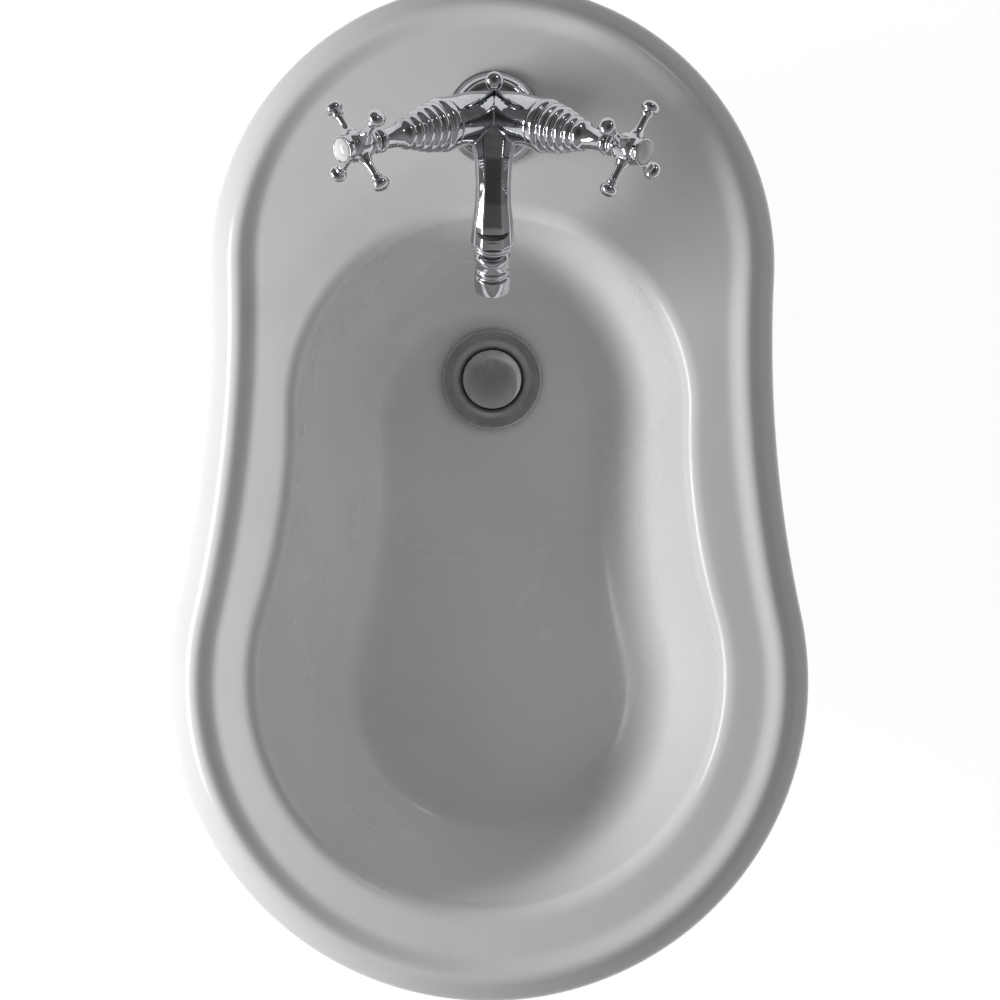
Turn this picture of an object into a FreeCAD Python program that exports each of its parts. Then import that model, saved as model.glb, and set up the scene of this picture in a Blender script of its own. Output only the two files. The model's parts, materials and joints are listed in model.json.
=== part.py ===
import FreeCAD, Part
import math
import os
from dataclasses import dataclass
from types import SimpleNamespace

import Sketcher

# Floor-standing ceramic bidet with a two-handle mixer tap and a pop-up waste, in millimetres.
# The origin is on the floor under the middle of the plan, +Z is up, the front is -Y, the tap is at +Y.

LEVEL_COLUMNS = ("height", "front_inset", "front_shift", "rear_inset", "rear_shift", "waist_radius")

# Outlines of the pedestal, from the top of the foot to the hollow under the rim. The insets are from
# the radii of the plan's two lobes, and the shifts are to the back of their centres.
PEDESTAL_LEVELS = {
    "foot": (34, 70.3, 54.05, 40.7, 16.35, 420),
    "neck": (95, 94.3, 51.05, 54.7, 20.35, 420),
    "flank": (200, 74.3, 24.05, 44.7, 13.35, 480),
    "belly": (305, 32.3, 4.05, 22.7, 1.35, 620),
}

SIZES = {
    # Plan of the ceramic: two round lobes joined by hollow waists
    "front_radius": 182.3,
    "rear_radius": 160.7,
    "lobe_spacing": 237.7,
    "waist_radius": 736,
    # Rim and deck
    "rim_height": 395.5,
    "rim_depth": 29.5,
    "rim_roll": 14.5,
    "rim_under_roll": 10,
    "rim_width": 22.5,
    "rim_step_round": 3.6,
    "deck_drop": 7.5,
    "deck_thickness": 14,
    "shoulder_inset": 14,
    "skin": 11,
    # Bowl: opening at the deck, and floor
    "deck_front_width": 26.8,
    "bowl_front_shift": 3.35,
    "bowl_rear_inset": 50.7,
    "bowl_rear_lead": 82.65,
    "bowl_waist_radius": 360,
    "bowl_depth": 126,
    "bowl_edge_round": 6,
    "bowl_wall": 12,
    "floor_front_inset": 57,
    "floor_front_lead": 10.3,
    "floor_rear_inset": 48,
    "floor_rear_lead": 7,
    "floor_waist_radius": 500,
    # Foot and its openings
    "plinth_step": 5,
    "plinth_round": 4,
    "arch_width": 110,
    "arch_height": 185,
    "fixing_hole_radius": 4.5,
    "fixing_hole_height": 17,
    "fixing_hole_lead": 69.65,
    "tap_setback": 82.35,
    "tap_hole_radius": 17.5,
    "drain_lead": 61.65,
    "drain_hole_radius": 23,
    # Gaps between pieces
    "thread_gap": 0.05,
    "running_gap": 0.05,
    "clear_gap": 0.35,
    # Tap base, body and clamping
    "gasket_radius": 25,
    "gasket_thickness": 1.5,
    "base_flange_radius": 27,
    "base_flange_height": 6,
    "base_flange_lip": 1.5,
    "boss_radius": 20.5,
    "boss_height": 12,
    "boss_round": 3,
    "boss_fillet": 6,
    "column_radius": 11,
    "valve_height": 26,
    "valve_rise_angle": 38,
    "valve_sweep_angle": 19.5,
    "arm_root_radius": 12,
    "arm_radius": 14.5,
    "arm_length": 36,
    "seat_depth": 16,
    "inlet_radius": 5,
    "inlet_spacing": 17,
    "inlet_depth": 10,
    "waterway_radius": 3,
    "stud_radius": 4,
    "stud_offset": 12,
    "stud_grip": 9,
    "stud_tail": 6,
    "washer_radius": 26,
    "washer_thickness": 3,
    "plate_thickness": 2.5,
    "slot_half_width": 15,
    "slot_front": 6,
    "nut_flats": 13,
    "nut_height": 6.5,
    # Spout and swivel nozzle
    "spout_root_radius": 12.5,
    "spout_waist_radius": 10,
    "spout_tip_radius": 12,
    "spout_rise": 9,
    "spout_crest": 16,
    "spout_lift_angle": 22,
    "spout_reach": 72,
    "spout_drop_angle": 40,
    "spout_bore": 5.5,
    "socket_radius": 10.6,
    "socket_depth": 9,
    "swivel_seal_thickness": 2.6,
    "swivel_seal_bore": 5.6,
    "ball_radius": 9.3,
    "ball_centre": 1.5,
    "ball_bore": 4.5,
    "collar_radius": 12.2,
    "collar_spigot": 4.5,
    "collar_length": 4.6,
    "collar_lip": 9.2,
    "nozzle_cup": 6,
    "nozzle_radius": 10.2,
    "nozzle_shoulder": 8,
    "nozzle_length": 32,
    "nozzle_groove": 1,
    "insert_radius": 8.2,
    "insert_length": 9,
    "insert_recess": 1,
    # Headwork, spindle and discs, along the valve axis
    "cartridge_radius": 9,
    "seat_seal_thickness": 1.5,
    "disc_radius": 7.6,
    "disc_thickness": 3,
    "disc_port_radius": 1.8,
    "disc_port_offset": 4.2,
    "spindle_radius": 3.95,
    "spindle_foot": 3,
    "cap_thread_radius": 11.95,
    "cap_thread_length": 5,
    "sleeve_radius": 6.9,
    "sleeve_end": 64,
    # Bonnet, handle and button, along the valve axis
    "bonnet_radius": 15.2,
    "bonnet_end": 85.2,
    "bonnet_tip_radius": 6.4,
    "bonnet_lip": 0.9,
    "hub_start": 86,
    "hub_end": 110,
    "hub_radius": 8.6,
    "hub_waist": 2.6,
    "hub_brim": 1.2,
    "hub_web": 1.5,
    "cross_height": 99,
    "spindle_end": 101,
    "spoke_radius": 2.3,
    "spoke_root_radius": 4.2,
    "spoke_count": 4,
    "spoke_reach": 29,
    "tip_radius": 5.2,
    "tip_length": 6.5,
    "tip_round": 3.5,
    "right_spin_angle": -11,
    "left_spin_angle": 20,
    "button_radius": 6.6,
    "button_depth": 4,
    "button_crown": 2.4,
    "screw_radius": 2,
    "screw_head_radius": 3.6,
    "screw_head_height": 2.2,
    "screw_length": 12,
    # Waste, from the bowl floor downwards
    "waste_flange_radius": 30.5,
    "waste_flange_height": 3.2,
    "waste_flange_edge": 0.7,
    "waste_seal_thickness": 1.5,
    "waste_seal_radius": 28.5,
    "cone_top_radius": 23,
    "cone_depth": 10.5,
    "throat_radius": 15.6,
    "throat_length": 4,
    "waste_bore": 18.3,
    "waste_wall": 3.5,
    "waste_tube_radius": 21,
    "waste_tube_length": 72,
    "lower_seal_radius": 31,
    "lower_seal_thickness": 8,
    "back_nut_flats": 56,
    "back_nut_height": 9,
    "waste_body_radius": 25,
    "waste_socket_length": 28,
    "chamber_length": 34,
    "tail_radius": 16,
    "tail_bore": 14.4,
    "tail_socket": 14,
    "tail_bead": 2,
    "tail_length": 66,
    # Plug, lever and lift rod
    "plug_radius": 17.6,
    "plug_edge": 2.2,
    "plug_crown": 2.6,
    "plug_travel": 6.5,
    "plug_seal_section": 1.6,
    "plug_seal_margin": 0.2,
    "plug_seal_width": 2,
    "stem_radius": 3,
    "fin_thickness": 1.6,
    "fin_height": 18,
    "eye_width": 11,
    "eye_thickness": 6,
    "eye_hole_radius": 3.4,
    "lever_radius": 2.4,
    "lever_depth": 84,
    "lever_inner": 29,
    "lever_overhang": 8,
    "lever_ball_radius": 5.4,
    "branch_radius": 9.5,
    "branch_end": 31,
    "ball_nut_radius": 12,
    "ball_nut_wall": 2.2,
    "ball_nut_mouth": 4.6,
    "ball_seal_thickness": 2.2,
    "rod_offset": 14,
    "rod_radius": 2.25,
    "rod_tail": 16,
    "knob_start": 50,
    "knob_radius": 6.3,
    "knob_height": 16,
    "knob_collar": 1.6,
    "clamp_offset": 7,
    "clamp_depth": 10,
    "clamp_height": 12,
    "clamp_border": 4,
    "clamp_hole_radius": 3.8,
    "thumb_radius": 5,
    "thumb_thickness": 4,
    "thumb_shank_radius": 2,
}

for level, row in PEDESTAL_LEVELS.items():
    SIZES.update({f"{level}_{column}": number for column, number in zip(LEVEL_COLUMNS, row)})


class Dim:
    """A size: its number, and the formula that ties a feature to the sheet."""

    def __init__(self, number, formula=None):
        self.number = float(number)
        self.formula = formula or repr(self.number)

    def __add__(self, other):
        other = as_dim(other)
        return Dim(self.number + other.number, f"({self.formula} + {other.formula})")

    def __sub__(self, other):
        other = as_dim(other)
        return Dim(self.number - other.number, f"({self.formula} - {other.formula})")

    def __mul__(self, other):
        other = as_dim(other)
        return Dim(self.number * other.number, f"({self.formula} * {other.formula})")

    def __truediv__(self, other):
        other = as_dim(other)
        return Dim(self.number / other.number, f"({self.formula} / {other.formula})")

    def __radd__(self, other):
        return as_dim(other) + self

    def __rsub__(self, other):
        return as_dim(other) - self

    def __rmul__(self, other):
        return as_dim(other) * self

    def __neg__(self):
        return Dim(-self.number, f"(0 - {self.formula})")


def as_dim(size):
    return size if isinstance(size, Dim) else Dim(size)


def root(size):
    return Dim(math.sqrt(size.number), f"sqrt({size.formula})")


def cosine(angle):
    return Dim(math.cos(math.radians(angle.number)), f"cos({angle.formula})")


def sine(angle):
    return Dim(math.sin(math.radians(angle.number)), f"sin({angle.formula})")


def tangent(angle):
    return Dim(math.tan(math.radians(angle.number)), f"tan({angle.formula})")


def arc_sine(ratio):
    return Dim(math.degrees(math.asin(ratio.number)), f"asin({ratio.formula})")


def arc_tangent(ratio):
    return Dim(math.degrees(math.atan(ratio.number)), f"atan({ratio.formula})")


doc = FreeCAD.newDocument("Bidet")
sheet = doc.addObject("Spreadsheet::Sheet", "Sizes")
for line, (alias, number) in enumerate(SIZES.items(), start=1):
    sheet.set(f"A{line}", alias)
    sheet.set(f"B{line}", str(number))
    sheet.setAlias(f"B{line}", alias)
doc.recompute()

d = SimpleNamespace(**{alias: Dim(number, f"Sizes.{alias}") for alias, number in SIZES.items()})

# Levels and places that follow from the sizes
rear_y = (d.front_radius + d.lobe_spacing - d.rear_radius) / 2
front_y = rear_y - d.lobe_spacing
deck_z = d.rim_height - d.deck_drop
deck_under_z = deck_z - d.deck_thickness
floor_z = deck_z - d.bowl_depth
tap_z = deck_z + d.gasket_thickness + d.base_flange_height
valve_z = tap_z + d.valve_height
tap_y = rear_y + d.tap_setback
rod_y = tap_y + d.rod_offset
drain_y = rear_y - d.drain_lead
fixing_y = rear_y - d.fixing_hole_lead
rim_base_z = d.rim_height - d.rim_depth
bowl_front_y = front_y + d.bowl_front_shift
bowl_rear_y = rear_y - d.bowl_rear_lead

nodes = []


def keep(node, label=None):
    """Mark an object as a finished sub-part, which gets a file under its label."""
    if label:
        node.Label = label
    nodes.append(node)
    return node


def bind(thing, name, size):
    thing.setExpression(name, as_dim(size).formula)


def place(thing, x=0, y=0, z=0, rotation=None):
    """Put an object at a point that follows the sheet."""
    thing.Placement = FreeCAD.Placement(FreeCAD.Vector(), rotation or FreeCAD.Rotation())
    for axis, size in zip("xyz", (x, y, z)):
        if isinstance(size, Dim):
            bind(thing, f"Placement.Base.{axis}", size)
    return thing


def origin_plane(body, role):
    return next(item for item in body.Origin.OriginFeatures if item.Role == role)


def new_sketch(body, name, role="XY_Plane", offset=(0, 0, 0), rotation=None):
    """Start a sketch on one of the body's own planes, shifted in that plane's axes."""
    sketch = body.newObject("Sketcher::SketchObject", name)
    sketch.AttachmentSupport = (origin_plane(body, role), [""])
    sketch.MapMode = "FlatFace"
    sketch.AttachmentOffset = FreeCAD.Placement(FreeCAD.Vector(), rotation or FreeCAD.Rotation())
    for axis, size in zip("xyz", offset):
        if isinstance(size, Dim):
            bind(sketch, f"AttachmentOffset.Base.{axis}", size)
    return sketch


def fix_size(sketch, kind, *where):
    """Add a dimension whose last entry is a size of the sheet."""
    *places, size = where
    index = sketch.addConstraint(Sketcher.Constraint(kind, *places, size.number))
    bind(sketch, f"Constraints[{index}]", size)


def fix_point(sketch, piece, end, x, y):
    """Hold a point at (x, y); a plain zero keeps it on the axis."""
    if isinstance(x, Dim):
        fix_size(sketch, "DistanceX", -1, 1, piece, end, x)
    else:
        sketch.addConstraint(Sketcher.Constraint("PointOnObject", piece, end, -2))
    if isinstance(y, Dim):
        fix_size(sketch, "DistanceY", -1, 1, piece, end, y)
    else:
        sketch.addConstraint(Sketcher.Constraint("PointOnObject", piece, end, -1))


def arc_piece(start, end, radius, turn):
    """The arc of under half a circle from start to end, turning left for +1 and right for -1."""
    chord = end - start
    side = FreeCAD.Vector(-chord.y, chord.x, 0).normalize() * turn
    rise = math.sqrt(radius**2 - (chord.Length / 2) ** 2)
    centre = (start + end) / 2 + side * rise
    first, last = (start, end) if turn > 0 else (end, start)
    angles = [math.atan2(point.y - centre.y, point.x - centre.x) for point in (first, last)]
    if angles[1] < angles[0]:
        angles[1] += 2 * math.pi
    circle = Part.Circle(centre, FreeCAD.Vector(0, 0, 1), radius)
    return Part.ArcOfCircle(circle, *angles)


def draw_loop(sketch, corners):
    """Draw a closed loop. A corner is (x, y), or (x, y, radius, turn) where an arc leads on from it."""
    points = [FreeCAD.Vector(as_dim(c[0]).number, as_dim(c[1]).number, 0) for c in corners]
    starts, ends = [], []
    for corner, here, there in zip(corners, points, points[1:] + points[:1]):
        if len(corner) == 2:
            piece = sketch.addGeometry(Part.LineSegment(here, there), False)
            starts.append((piece, 1))
            ends.append((piece, 2))
            continue
        radius, turn = corner[2:]
        piece = sketch.addGeometry(arc_piece(here, there, radius.number, turn), False)
        fix_size(sketch, "Radius", piece, radius)
        starts.append((piece, 1 if turn > 0 else 2))
        ends.append((piece, 2 if turn > 0 else 1))
    for index, corner in enumerate(corners):
        sketch.addConstraint(Sketcher.Constraint("Coincident", *ends[index - 1], *starts[index]))
        fix_point(sketch, *starts[index], corner[0], corner[1])


def draw_circle(sketch, x, y, radius):
    centre = FreeCAD.Vector(as_dim(x).number, as_dim(y).number, 0)
    piece = sketch.addGeometry(Part.Circle(centre, FreeCAD.Vector(0, 0, 1), radius.number), False)
    fix_size(sketch, "Radius", piece, radius)
    fix_point(sketch, piece, 3, x, y)


def draw_hexagon(sketch, flats):
    """A hexagon about the sketch's origin, given across its flats."""
    corner = flats / math.sqrt(3)
    half = flats / 2
    draw_loop(
        sketch,
        [
            (corner, 0),
            (corner / 2, half),
            (-corner / 2, half),
            (-corner, 0),
            (-corner / 2, -half),
            (corner / 2, -half),
        ],
    )


def revolve(body, sketch, kind="Revolution", axis="V_Axis"):
    feature = body.newObject(f"PartDesign::{kind}", f"{sketch.Name}_turn")
    feature.Profile = sketch
    feature.ReferenceAxis = (sketch, [axis])
    feature.Angle = 360
    return feature


def extrude(body, sketch, length, kind="Pad", reverse=False, both=False):
    feature = body.newObject(f"PartDesign::{kind}", f"{sketch.Name}_{kind.lower()}")
    feature.Profile = sketch
    feature.Reversed = reverse
    feature.Midplane = both
    bind(feature, "Length", length)
    return feature


def loft(body, sketches, kind):
    feature = body.newObject(f"PartDesign::{kind}", f"{sketches[0].Name}_loft")
    feature.Profile = sketches[0]
    feature.Sections = sketches[1:]
    return feature


def new_body(name):
    return doc.addObject("PartDesign::Body", name)


def turned(name, corners):
    """A piece turned about its own Z axis from (radius, height) corners."""
    body = new_body(name)
    sketch = new_sketch(body, f"{name}_profile", "XZ_Plane")
    draw_loop(sketch, corners)
    revolve(body, sketch)
    return body


def ring(name, inner, outer, low, high):
    return turned(name, [(inner, low), (outer, low), (outer, high), (inner, high)])


def rod(name, radius, low, high):
    return turned(name, [(0, low), (radius, low), (radius, high), (0, high)])


def dome_radius(rim, height):
    """The ball that a dome of this rim radius and height is part of."""
    return (rim * rim + height * height) / (2 * height)


def fuse(name, pieces):
    result = doc.addObject("Part::MultiFuse", name)
    result.Shapes = pieces
    return result


def cut(name, base, tools):
    result = doc.addObject("Part::Cut", name)
    result.Base = base
    result.Tool = tools[0] if len(tools) == 1 else fuse(f"{name}_cutters", tools)
    return result


@dataclass
class Outline:
    """A plan of two round lobes on the Y axis, joined by hollow waists that touch both."""

    front_radius: Dim
    front_y: Dim
    rear_radius: Dim
    rear_y: Dim
    waist_radius: Dim

    def inset(self, step):
        return Outline(
            self.front_radius - step,
            self.front_y,
            self.rear_radius - step,
            self.rear_y,
            self.waist_radius + step,
        )

    def towards(self, other, share):
        """The outline at a share of the way to another one."""
        mine, theirs = vars(self), vars(other)
        return Outline(**{key: mine[key] + (theirs[key] - mine[key]) * share for key in mine})

    def waist_centre(self):
        """Where the waist on the +X side has its centre."""
        spacing = self.rear_y.number - self.front_y.number
        front = self.front_radius.number + self.waist_radius.number
        rear = self.rear_radius.number + self.waist_radius.number
        along = (spacing**2 + front**2 - rear**2) / (2 * spacing)
        return FreeCAD.Vector(math.sqrt(front**2 - along**2), self.front_y.number + along, 0)

    def holds(self, point):
        """Whether a point lies on one of the four arcs."""
        waist = self.waist_centre()
        arcs = [
            (0, self.front_y.number, self.front_radius.number),
            (0, self.rear_y.number, self.rear_radius.number),
            (waist.x, waist.y, self.waist_radius.number),
            (-waist.x, waist.y, self.waist_radius.number),
        ]
        return any(abs(math.hypot(point.x - x, point.y - y) - r) < 0.05 for x, y, r in arcs)

    def draw(self, sketch):
        up = FreeCAD.Vector(0, 0, 1)
        waist = self.waist_centre()
        front = FreeCAD.Vector(0, self.front_y.number, 0)
        rear = FreeCAD.Vector(0, self.rear_y.number, 0)
        front_angle = math.atan2(waist.y - front.y, waist.x)
        rear_angle = math.atan2(waist.y - rear.y, waist.x)
        mirrored = FreeCAD.Vector(-waist.x, waist.y, 0)
        radius = self.waist_radius.number
        arcs = [
            (front, self.front_radius.number, math.pi - front_angle, 2 * math.pi + front_angle),
            (waist, radius, math.pi + rear_angle, math.pi + front_angle),
            (rear, self.rear_radius.number, rear_angle, math.pi - rear_angle),
            (mirrored, radius, -front_angle, -rear_angle),
        ]
        for centre, size, first, last in arcs:
            sketch.addGeometry(Part.ArcOfCircle(Part.Circle(centre, up, size), first, last), False)
        for joint in ((0, 2, 1, 2), (1, 1, 2, 1), (2, 2, 3, 2), (3, 1, 0, 1)):
            sketch.addConstraint(Sketcher.Constraint("Tangent", *joint))
        fix_point(sketch, 0, 3, 0, self.front_y)
        fix_point(sketch, 2, 3, 0, self.rear_y)
        fix_size(sketch, "Radius", 0, self.front_radius)
        fix_size(sketch, "Radius", 2, self.rear_radius)
        fix_size(sketch, "Radius", 1, self.waist_radius)
        sketch.addConstraint(Sketcher.Constraint("Equal", 1, 3))


plan = Outline(d.front_radius, front_y, d.rear_radius, rear_y, d.waist_radius)
bowl_opening = Outline(
    d.front_radius - d.rim_width - d.deck_front_width,
    bowl_front_y,
    d.rear_radius - d.bowl_rear_inset,
    bowl_rear_y,
    d.bowl_waist_radius,
)
bowl_floor = Outline(
    bowl_opening.front_radius - d.floor_front_inset,
    bowl_front_y - d.floor_front_lead,
    bowl_opening.rear_radius - d.floor_rear_inset,
    bowl_rear_y - d.floor_rear_lead,
    d.floor_waist_radius,
)

# The bowl wall: share of the way in from the opening to the floor, and share of the depth.
BOWL_WALL = ((0.0, 0.0), (0.30, 0.42), (0.60, 0.79), (0.82, 0.95), (1.0, 1.0))

# The bonnet's steps: share of its height, and share of the way in from its foot to its tip.
BONNET_FOOT = ((0.10, 0.0), (0.14, 0.16), (0.31, 0.16), (0.34, 0.30), (0.42, 0.30), (0.45, 0.52))
BONNET_NECK = ((0.53, 0.52), (0.56, 0.68), (0.64, 0.68), (0.68, 0.88), (0.80, 1.0), (0.90, 1.0))

# Where the bonnet's bore closes in: over the headwork's sleeve, then over the spindle.
BONNET_BORE = (0.62, 0.72)

# Where along its reach the spout is at its waist and at its crest.
SPOUT_WAIST = 0.42
SPOUT_CREST = 0.72


def level_outline(level):
    """The pedestal's outline at one of its levels."""
    front, front_shift, rear, rear_shift, waist = (vars(d)[f"{level}_{c}"] for c in LEVEL_COLUMNS[1:])
    return Outline(
        d.front_radius - front, front_y + front_shift, d.rear_radius - rear, rear_y + rear_shift, waist
    )


def outline_sketch(body, name, outline, height):
    sketch = new_sketch(body, name, offset=(0, 0, height))
    outline.draw(sketch)
    return sketch


def round_edges(body, feature, outline, height, radius, name):
    """Round the edges that follow an outline at a height."""
    doc.recompute()
    names = []
    for number, edge in enumerate(feature.Shape.Edges, start=1):
        first, last = edge.ParameterRange
        points = [edge.valueAt(first + (last - first) * share) for share in (0.1, 0.5, 0.9)]
        if all(abs(p.z - height.number) < 0.01 and outline.holds(p) for p in points):
            names.append(f"Edge{number}")
    fillet = body.newObject("PartDesign::Fillet", name)
    fillet.Base = (feature, names)
    bind(fillet, "Radius", radius)
    return fillet


def pedestal_sketches(body, name, inset, top_height):
    levels = [
        outline_sketch(
            body, f"{name}_{level}", level_outline(level).inset(inset), vars(d)[f"{level}_height"]
        )
        for level in PEDESTAL_LEVELS
    ]
    shoulder = plan.inset(d.shoulder_inset + inset)
    return levels + [outline_sketch(body, f"{name}_shoulder", shoulder, top_height)]


def bowl_sketches(body, name, wall, top_drop):
    """Outlines of the bowl from its opening to its floor, moved out by a wall."""
    sketches = []
    for index, (inward, down) in enumerate(BOWL_WALL):
        outline = bowl_opening.towards(bowl_floor, inward).inset(-wall)
        height = deck_z - d.bowl_depth * down - wall * down - top_drop * (1 - down)
        sketches.append(outline_sketch(body, f"{name}_{index}", outline, height))
    return sketches


def build_rim():
    """The rolled rim round the sunk deck, with a lip below that sits on the pedestal."""
    body = new_body("ceramic_rim")
    extrude(body, outline_sketch(body, "rim_plan", plan, rim_base_z), d.rim_depth)
    inner = plan.inset(d.rim_width)
    recess_plan = outline_sketch(body, "deck_plan", inner, d.rim_height)
    recess = extrude(body, recess_plan, d.deck_drop, "Pocket")
    rounded = round_edges(body, recess, plan, d.rim_height, d.rim_roll, "rim_roll_round")
    rounded = round_edges(body, rounded, plan, rim_base_z, d.rim_under_roll, "rim_under_round")
    rounded = round_edges(body, rounded, inner, d.rim_height, d.rim_step_round, "rim_step_top")
    round_edges(body, rounded, inner, deck_z, d.rim_step_round, "rim_step_foot")

    lip_plan = plan.inset(d.shoulder_inset + d.skin)
    lip = outline_sketch(body, "lip_plan", lip_plan, deck_under_z)
    extrude(body, lip, deck_under_z - rim_base_z + d.clear_gap, "Pocket")
    cavity = loft(body, bowl_sketches(body, "opening", Dim(0), Dim(0)), "SubtractiveLoft")
    round_edges(body, cavity, bowl_opening, deck_z, d.bowl_edge_round, "bowl_edge")

    tap_hole = new_sketch(body, "tap_hole", offset=(0, 0, deck_z))
    draw_circle(tap_hole, 0, tap_y, d.tap_hole_radius)
    extrude(body, tap_hole, d.deck_thickness + d.clear_gap, "Pocket")
    keep(body)


def build_bowl():
    """The bowl, joined to the deck from below."""
    body = new_body("ceramic_bowl")
    loft(body, bowl_sketches(body, "shell", d.bowl_wall, d.deck_thickness), "AdditiveLoft")
    loft(body, bowl_sketches(body, "cavity", Dim(0), Dim(0)), "SubtractiveLoft")
    drain_hole = new_sketch(body, "drain_hole", offset=(0, 0, floor_z))
    draw_circle(drain_hole, 0, drain_y, d.drain_hole_radius)
    extrude(body, drain_hole, d.bowl_wall + d.clear_gap, "Pocket")
    keep(body)


def cut_arch(body):
    """Open the back of a piece for the pipes."""
    half = d.arch_width / 2
    spring = d.arch_height - half
    arch = new_sketch(body, "rear_arch", "XZ_Plane", offset=(0, 0, -level_outline("foot").rear_y))
    draw_loop(
        arch,
        [(-half, 0), (half, 0), (half, spring, half, 1), (0, d.arch_height, half, 1), (-half, spring)],
    )
    extrude(body, arch, d.rear_radius, "Pocket")


def build_pedestal():
    """The hollow wall between the foot and the rim, open below and behind."""
    body = new_body("ceramic_pedestal")
    loft(body, pedestal_sketches(body, "outside", Dim(0), rim_base_z), "AdditiveLoft")
    loft(body, pedestal_sketches(body, "inside", d.skin, rim_base_z), "SubtractiveLoft")
    cut_arch(body)
    keep(body)


def build_foot():
    """The plinth that stands on the floor, with a hole on each side for its fixing."""
    body = new_body("ceramic_foot")
    outside = level_outline("foot").inset(-d.plinth_step)
    plinth = extrude(body, outline_sketch(body, "plinth_plan", outside, 0), d.foot_height)
    round_edges(body, plinth, outside, d.foot_height, d.plinth_round, "plinth_round_top")
    hollow = outline_sketch(body, "hollow_plan", level_outline("foot").inset(d.skin), d.foot_height)
    extrude(body, hollow, d.foot_height, "Pocket")
    cut_arch(body)
    fixing = new_sketch(body, "fixing_holes", "YZ_Plane")
    draw_circle(fixing, fixing_y, d.fixing_hole_height, d.fixing_hole_radius)
    extrude(body, fixing, (d.front_radius + d.rear_radius) * 2, "Pocket", both=True)
    keep(body)


def build_tap_base():
    """What clamps the tap to the deck, from the flange above to the nut below."""
    gasket = ring("base_gasket", d.tap_hole_radius, d.gasket_radius, 0, d.gasket_thickness)
    keep(place(gasket, 0, tap_y, deck_z))

    top = d.base_flange_height
    flange = turned(
        "base_flange",
        [
            (d.tap_hole_radius, 0),
            (d.base_flange_radius, 0),
            (d.base_flange_radius, d.base_flange_lip, d.base_flange_height, 1),
            (d.boss_radius + d.base_flange_lip, top),
            (d.tap_hole_radius, top),
        ],
    )
    keep(place(flange, 0, tap_y, deck_z + d.gasket_thickness))

    washer_z = deck_under_z - d.washer_thickness
    plate_z = washer_z - d.plate_thickness
    nut_z = plate_z - d.nut_height
    keep(place(horseshoe("clamp_washer", d.washer_thickness), 0, tap_y, washer_z))
    keep(place(horseshoe("clamp_plate", d.plate_thickness), 0, tap_y, plate_z))

    nut = new_body("mounting_nut")
    sketch = new_sketch(nut, "mounting_nut_plan")
    draw_hexagon(sketch, d.nut_flats)
    draw_circle(sketch, 0, 0, d.stud_radius + d.thread_gap)
    extrude(nut, sketch, d.nut_height)
    keep(place(nut, 0, tap_y - d.stud_offset, nut_z))

    stud = rod("mounting_stud", d.stud_radius, nut_z - d.stud_tail, tap_z + d.stud_grip - d.clear_gap)
    keep(place(stud, 0, tap_y - d.stud_offset, 0))


def horseshoe(name, thickness):
    """A flat disc with a slot from behind for the inlets and the lift rod, and a hole for the stud."""
    body = new_body(name)
    sketch = new_sketch(body, f"{name}_plan")
    radius, half = d.washer_radius, d.slot_half_width
    reach = root(radius * radius - half * half)
    draw_loop(
        sketch,
        [
            (half, reach, radius, -1),
            (radius, 0, radius, -1),
            (0, -radius, radius, -1),
            (-radius, 0, radius, -1),
            (-half, reach),
            (-half, -d.slot_front),
            (half, -d.slot_front),
        ],
    )
    draw_circle(sketch, 0, -d.stud_offset, d.stud_radius + d.clear_gap)
    extrude(body, sketch, thickness)
    return body


def valve_rotation(side):
    """Turns +Z to a valve's axis: up and forward of sideways, to the right for +1, left for -1."""
    yaw = -d.valve_sweep_angle.number if side > 0 else 180 + d.valve_sweep_angle.number
    return FreeCAD.Rotation(yaw, 90 - d.valve_rise_angle.number, 0)


def on_valve(thing, side, spin=0.0):
    turn = valve_rotation(side) * FreeCAD.Rotation(FreeCAD.Vector(0, 0, 1), spin)
    return place(thing, 0, tap_y, valve_z, turn)


def at_outlet(thing):
    """Put a piece on the spout's outlet, with its +Z the way that the water leaves."""
    turn = FreeCAD.Rotation(FreeCAD.Vector(1, 0, 0), 90 + d.spout_drop_angle.number)
    return place(thing, 0, tap_y - d.spout_reach, valve_z + d.spout_rise, turn)


def spout_solid(name, radii):
    """Round sections from the column to the outlet: share of the reach, height, dip in degrees."""
    body = new_body(name)
    stations = (
        (0.0, Dim(0), -d.spout_lift_angle),
        (SPOUT_WAIST, d.spout_crest - d.spout_rise / 4, -d.spout_lift_angle / 2),
        (SPOUT_CREST, d.spout_crest, d.spout_lift_angle / 2),
        (1.0, d.spout_rise, d.spout_drop_angle),
    )
    sketches = []
    for index, ((share, height, dip), radius) in enumerate(zip(stations, radii)):
        turn = FreeCAD.Rotation(FreeCAD.Vector(1, 0, 0), dip.number)
        offset = (0, height, d.spout_reach * share)
        sketch = new_sketch(body, f"{name}_{index}", "XZ_Plane", offset, turn)
        draw_circle(sketch, 0, 0, radius)
        sketches.append(sketch)
    loft(body, sketches, "AdditiveLoft")
    return place(body, 0, tap_y, valve_z)


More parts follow.
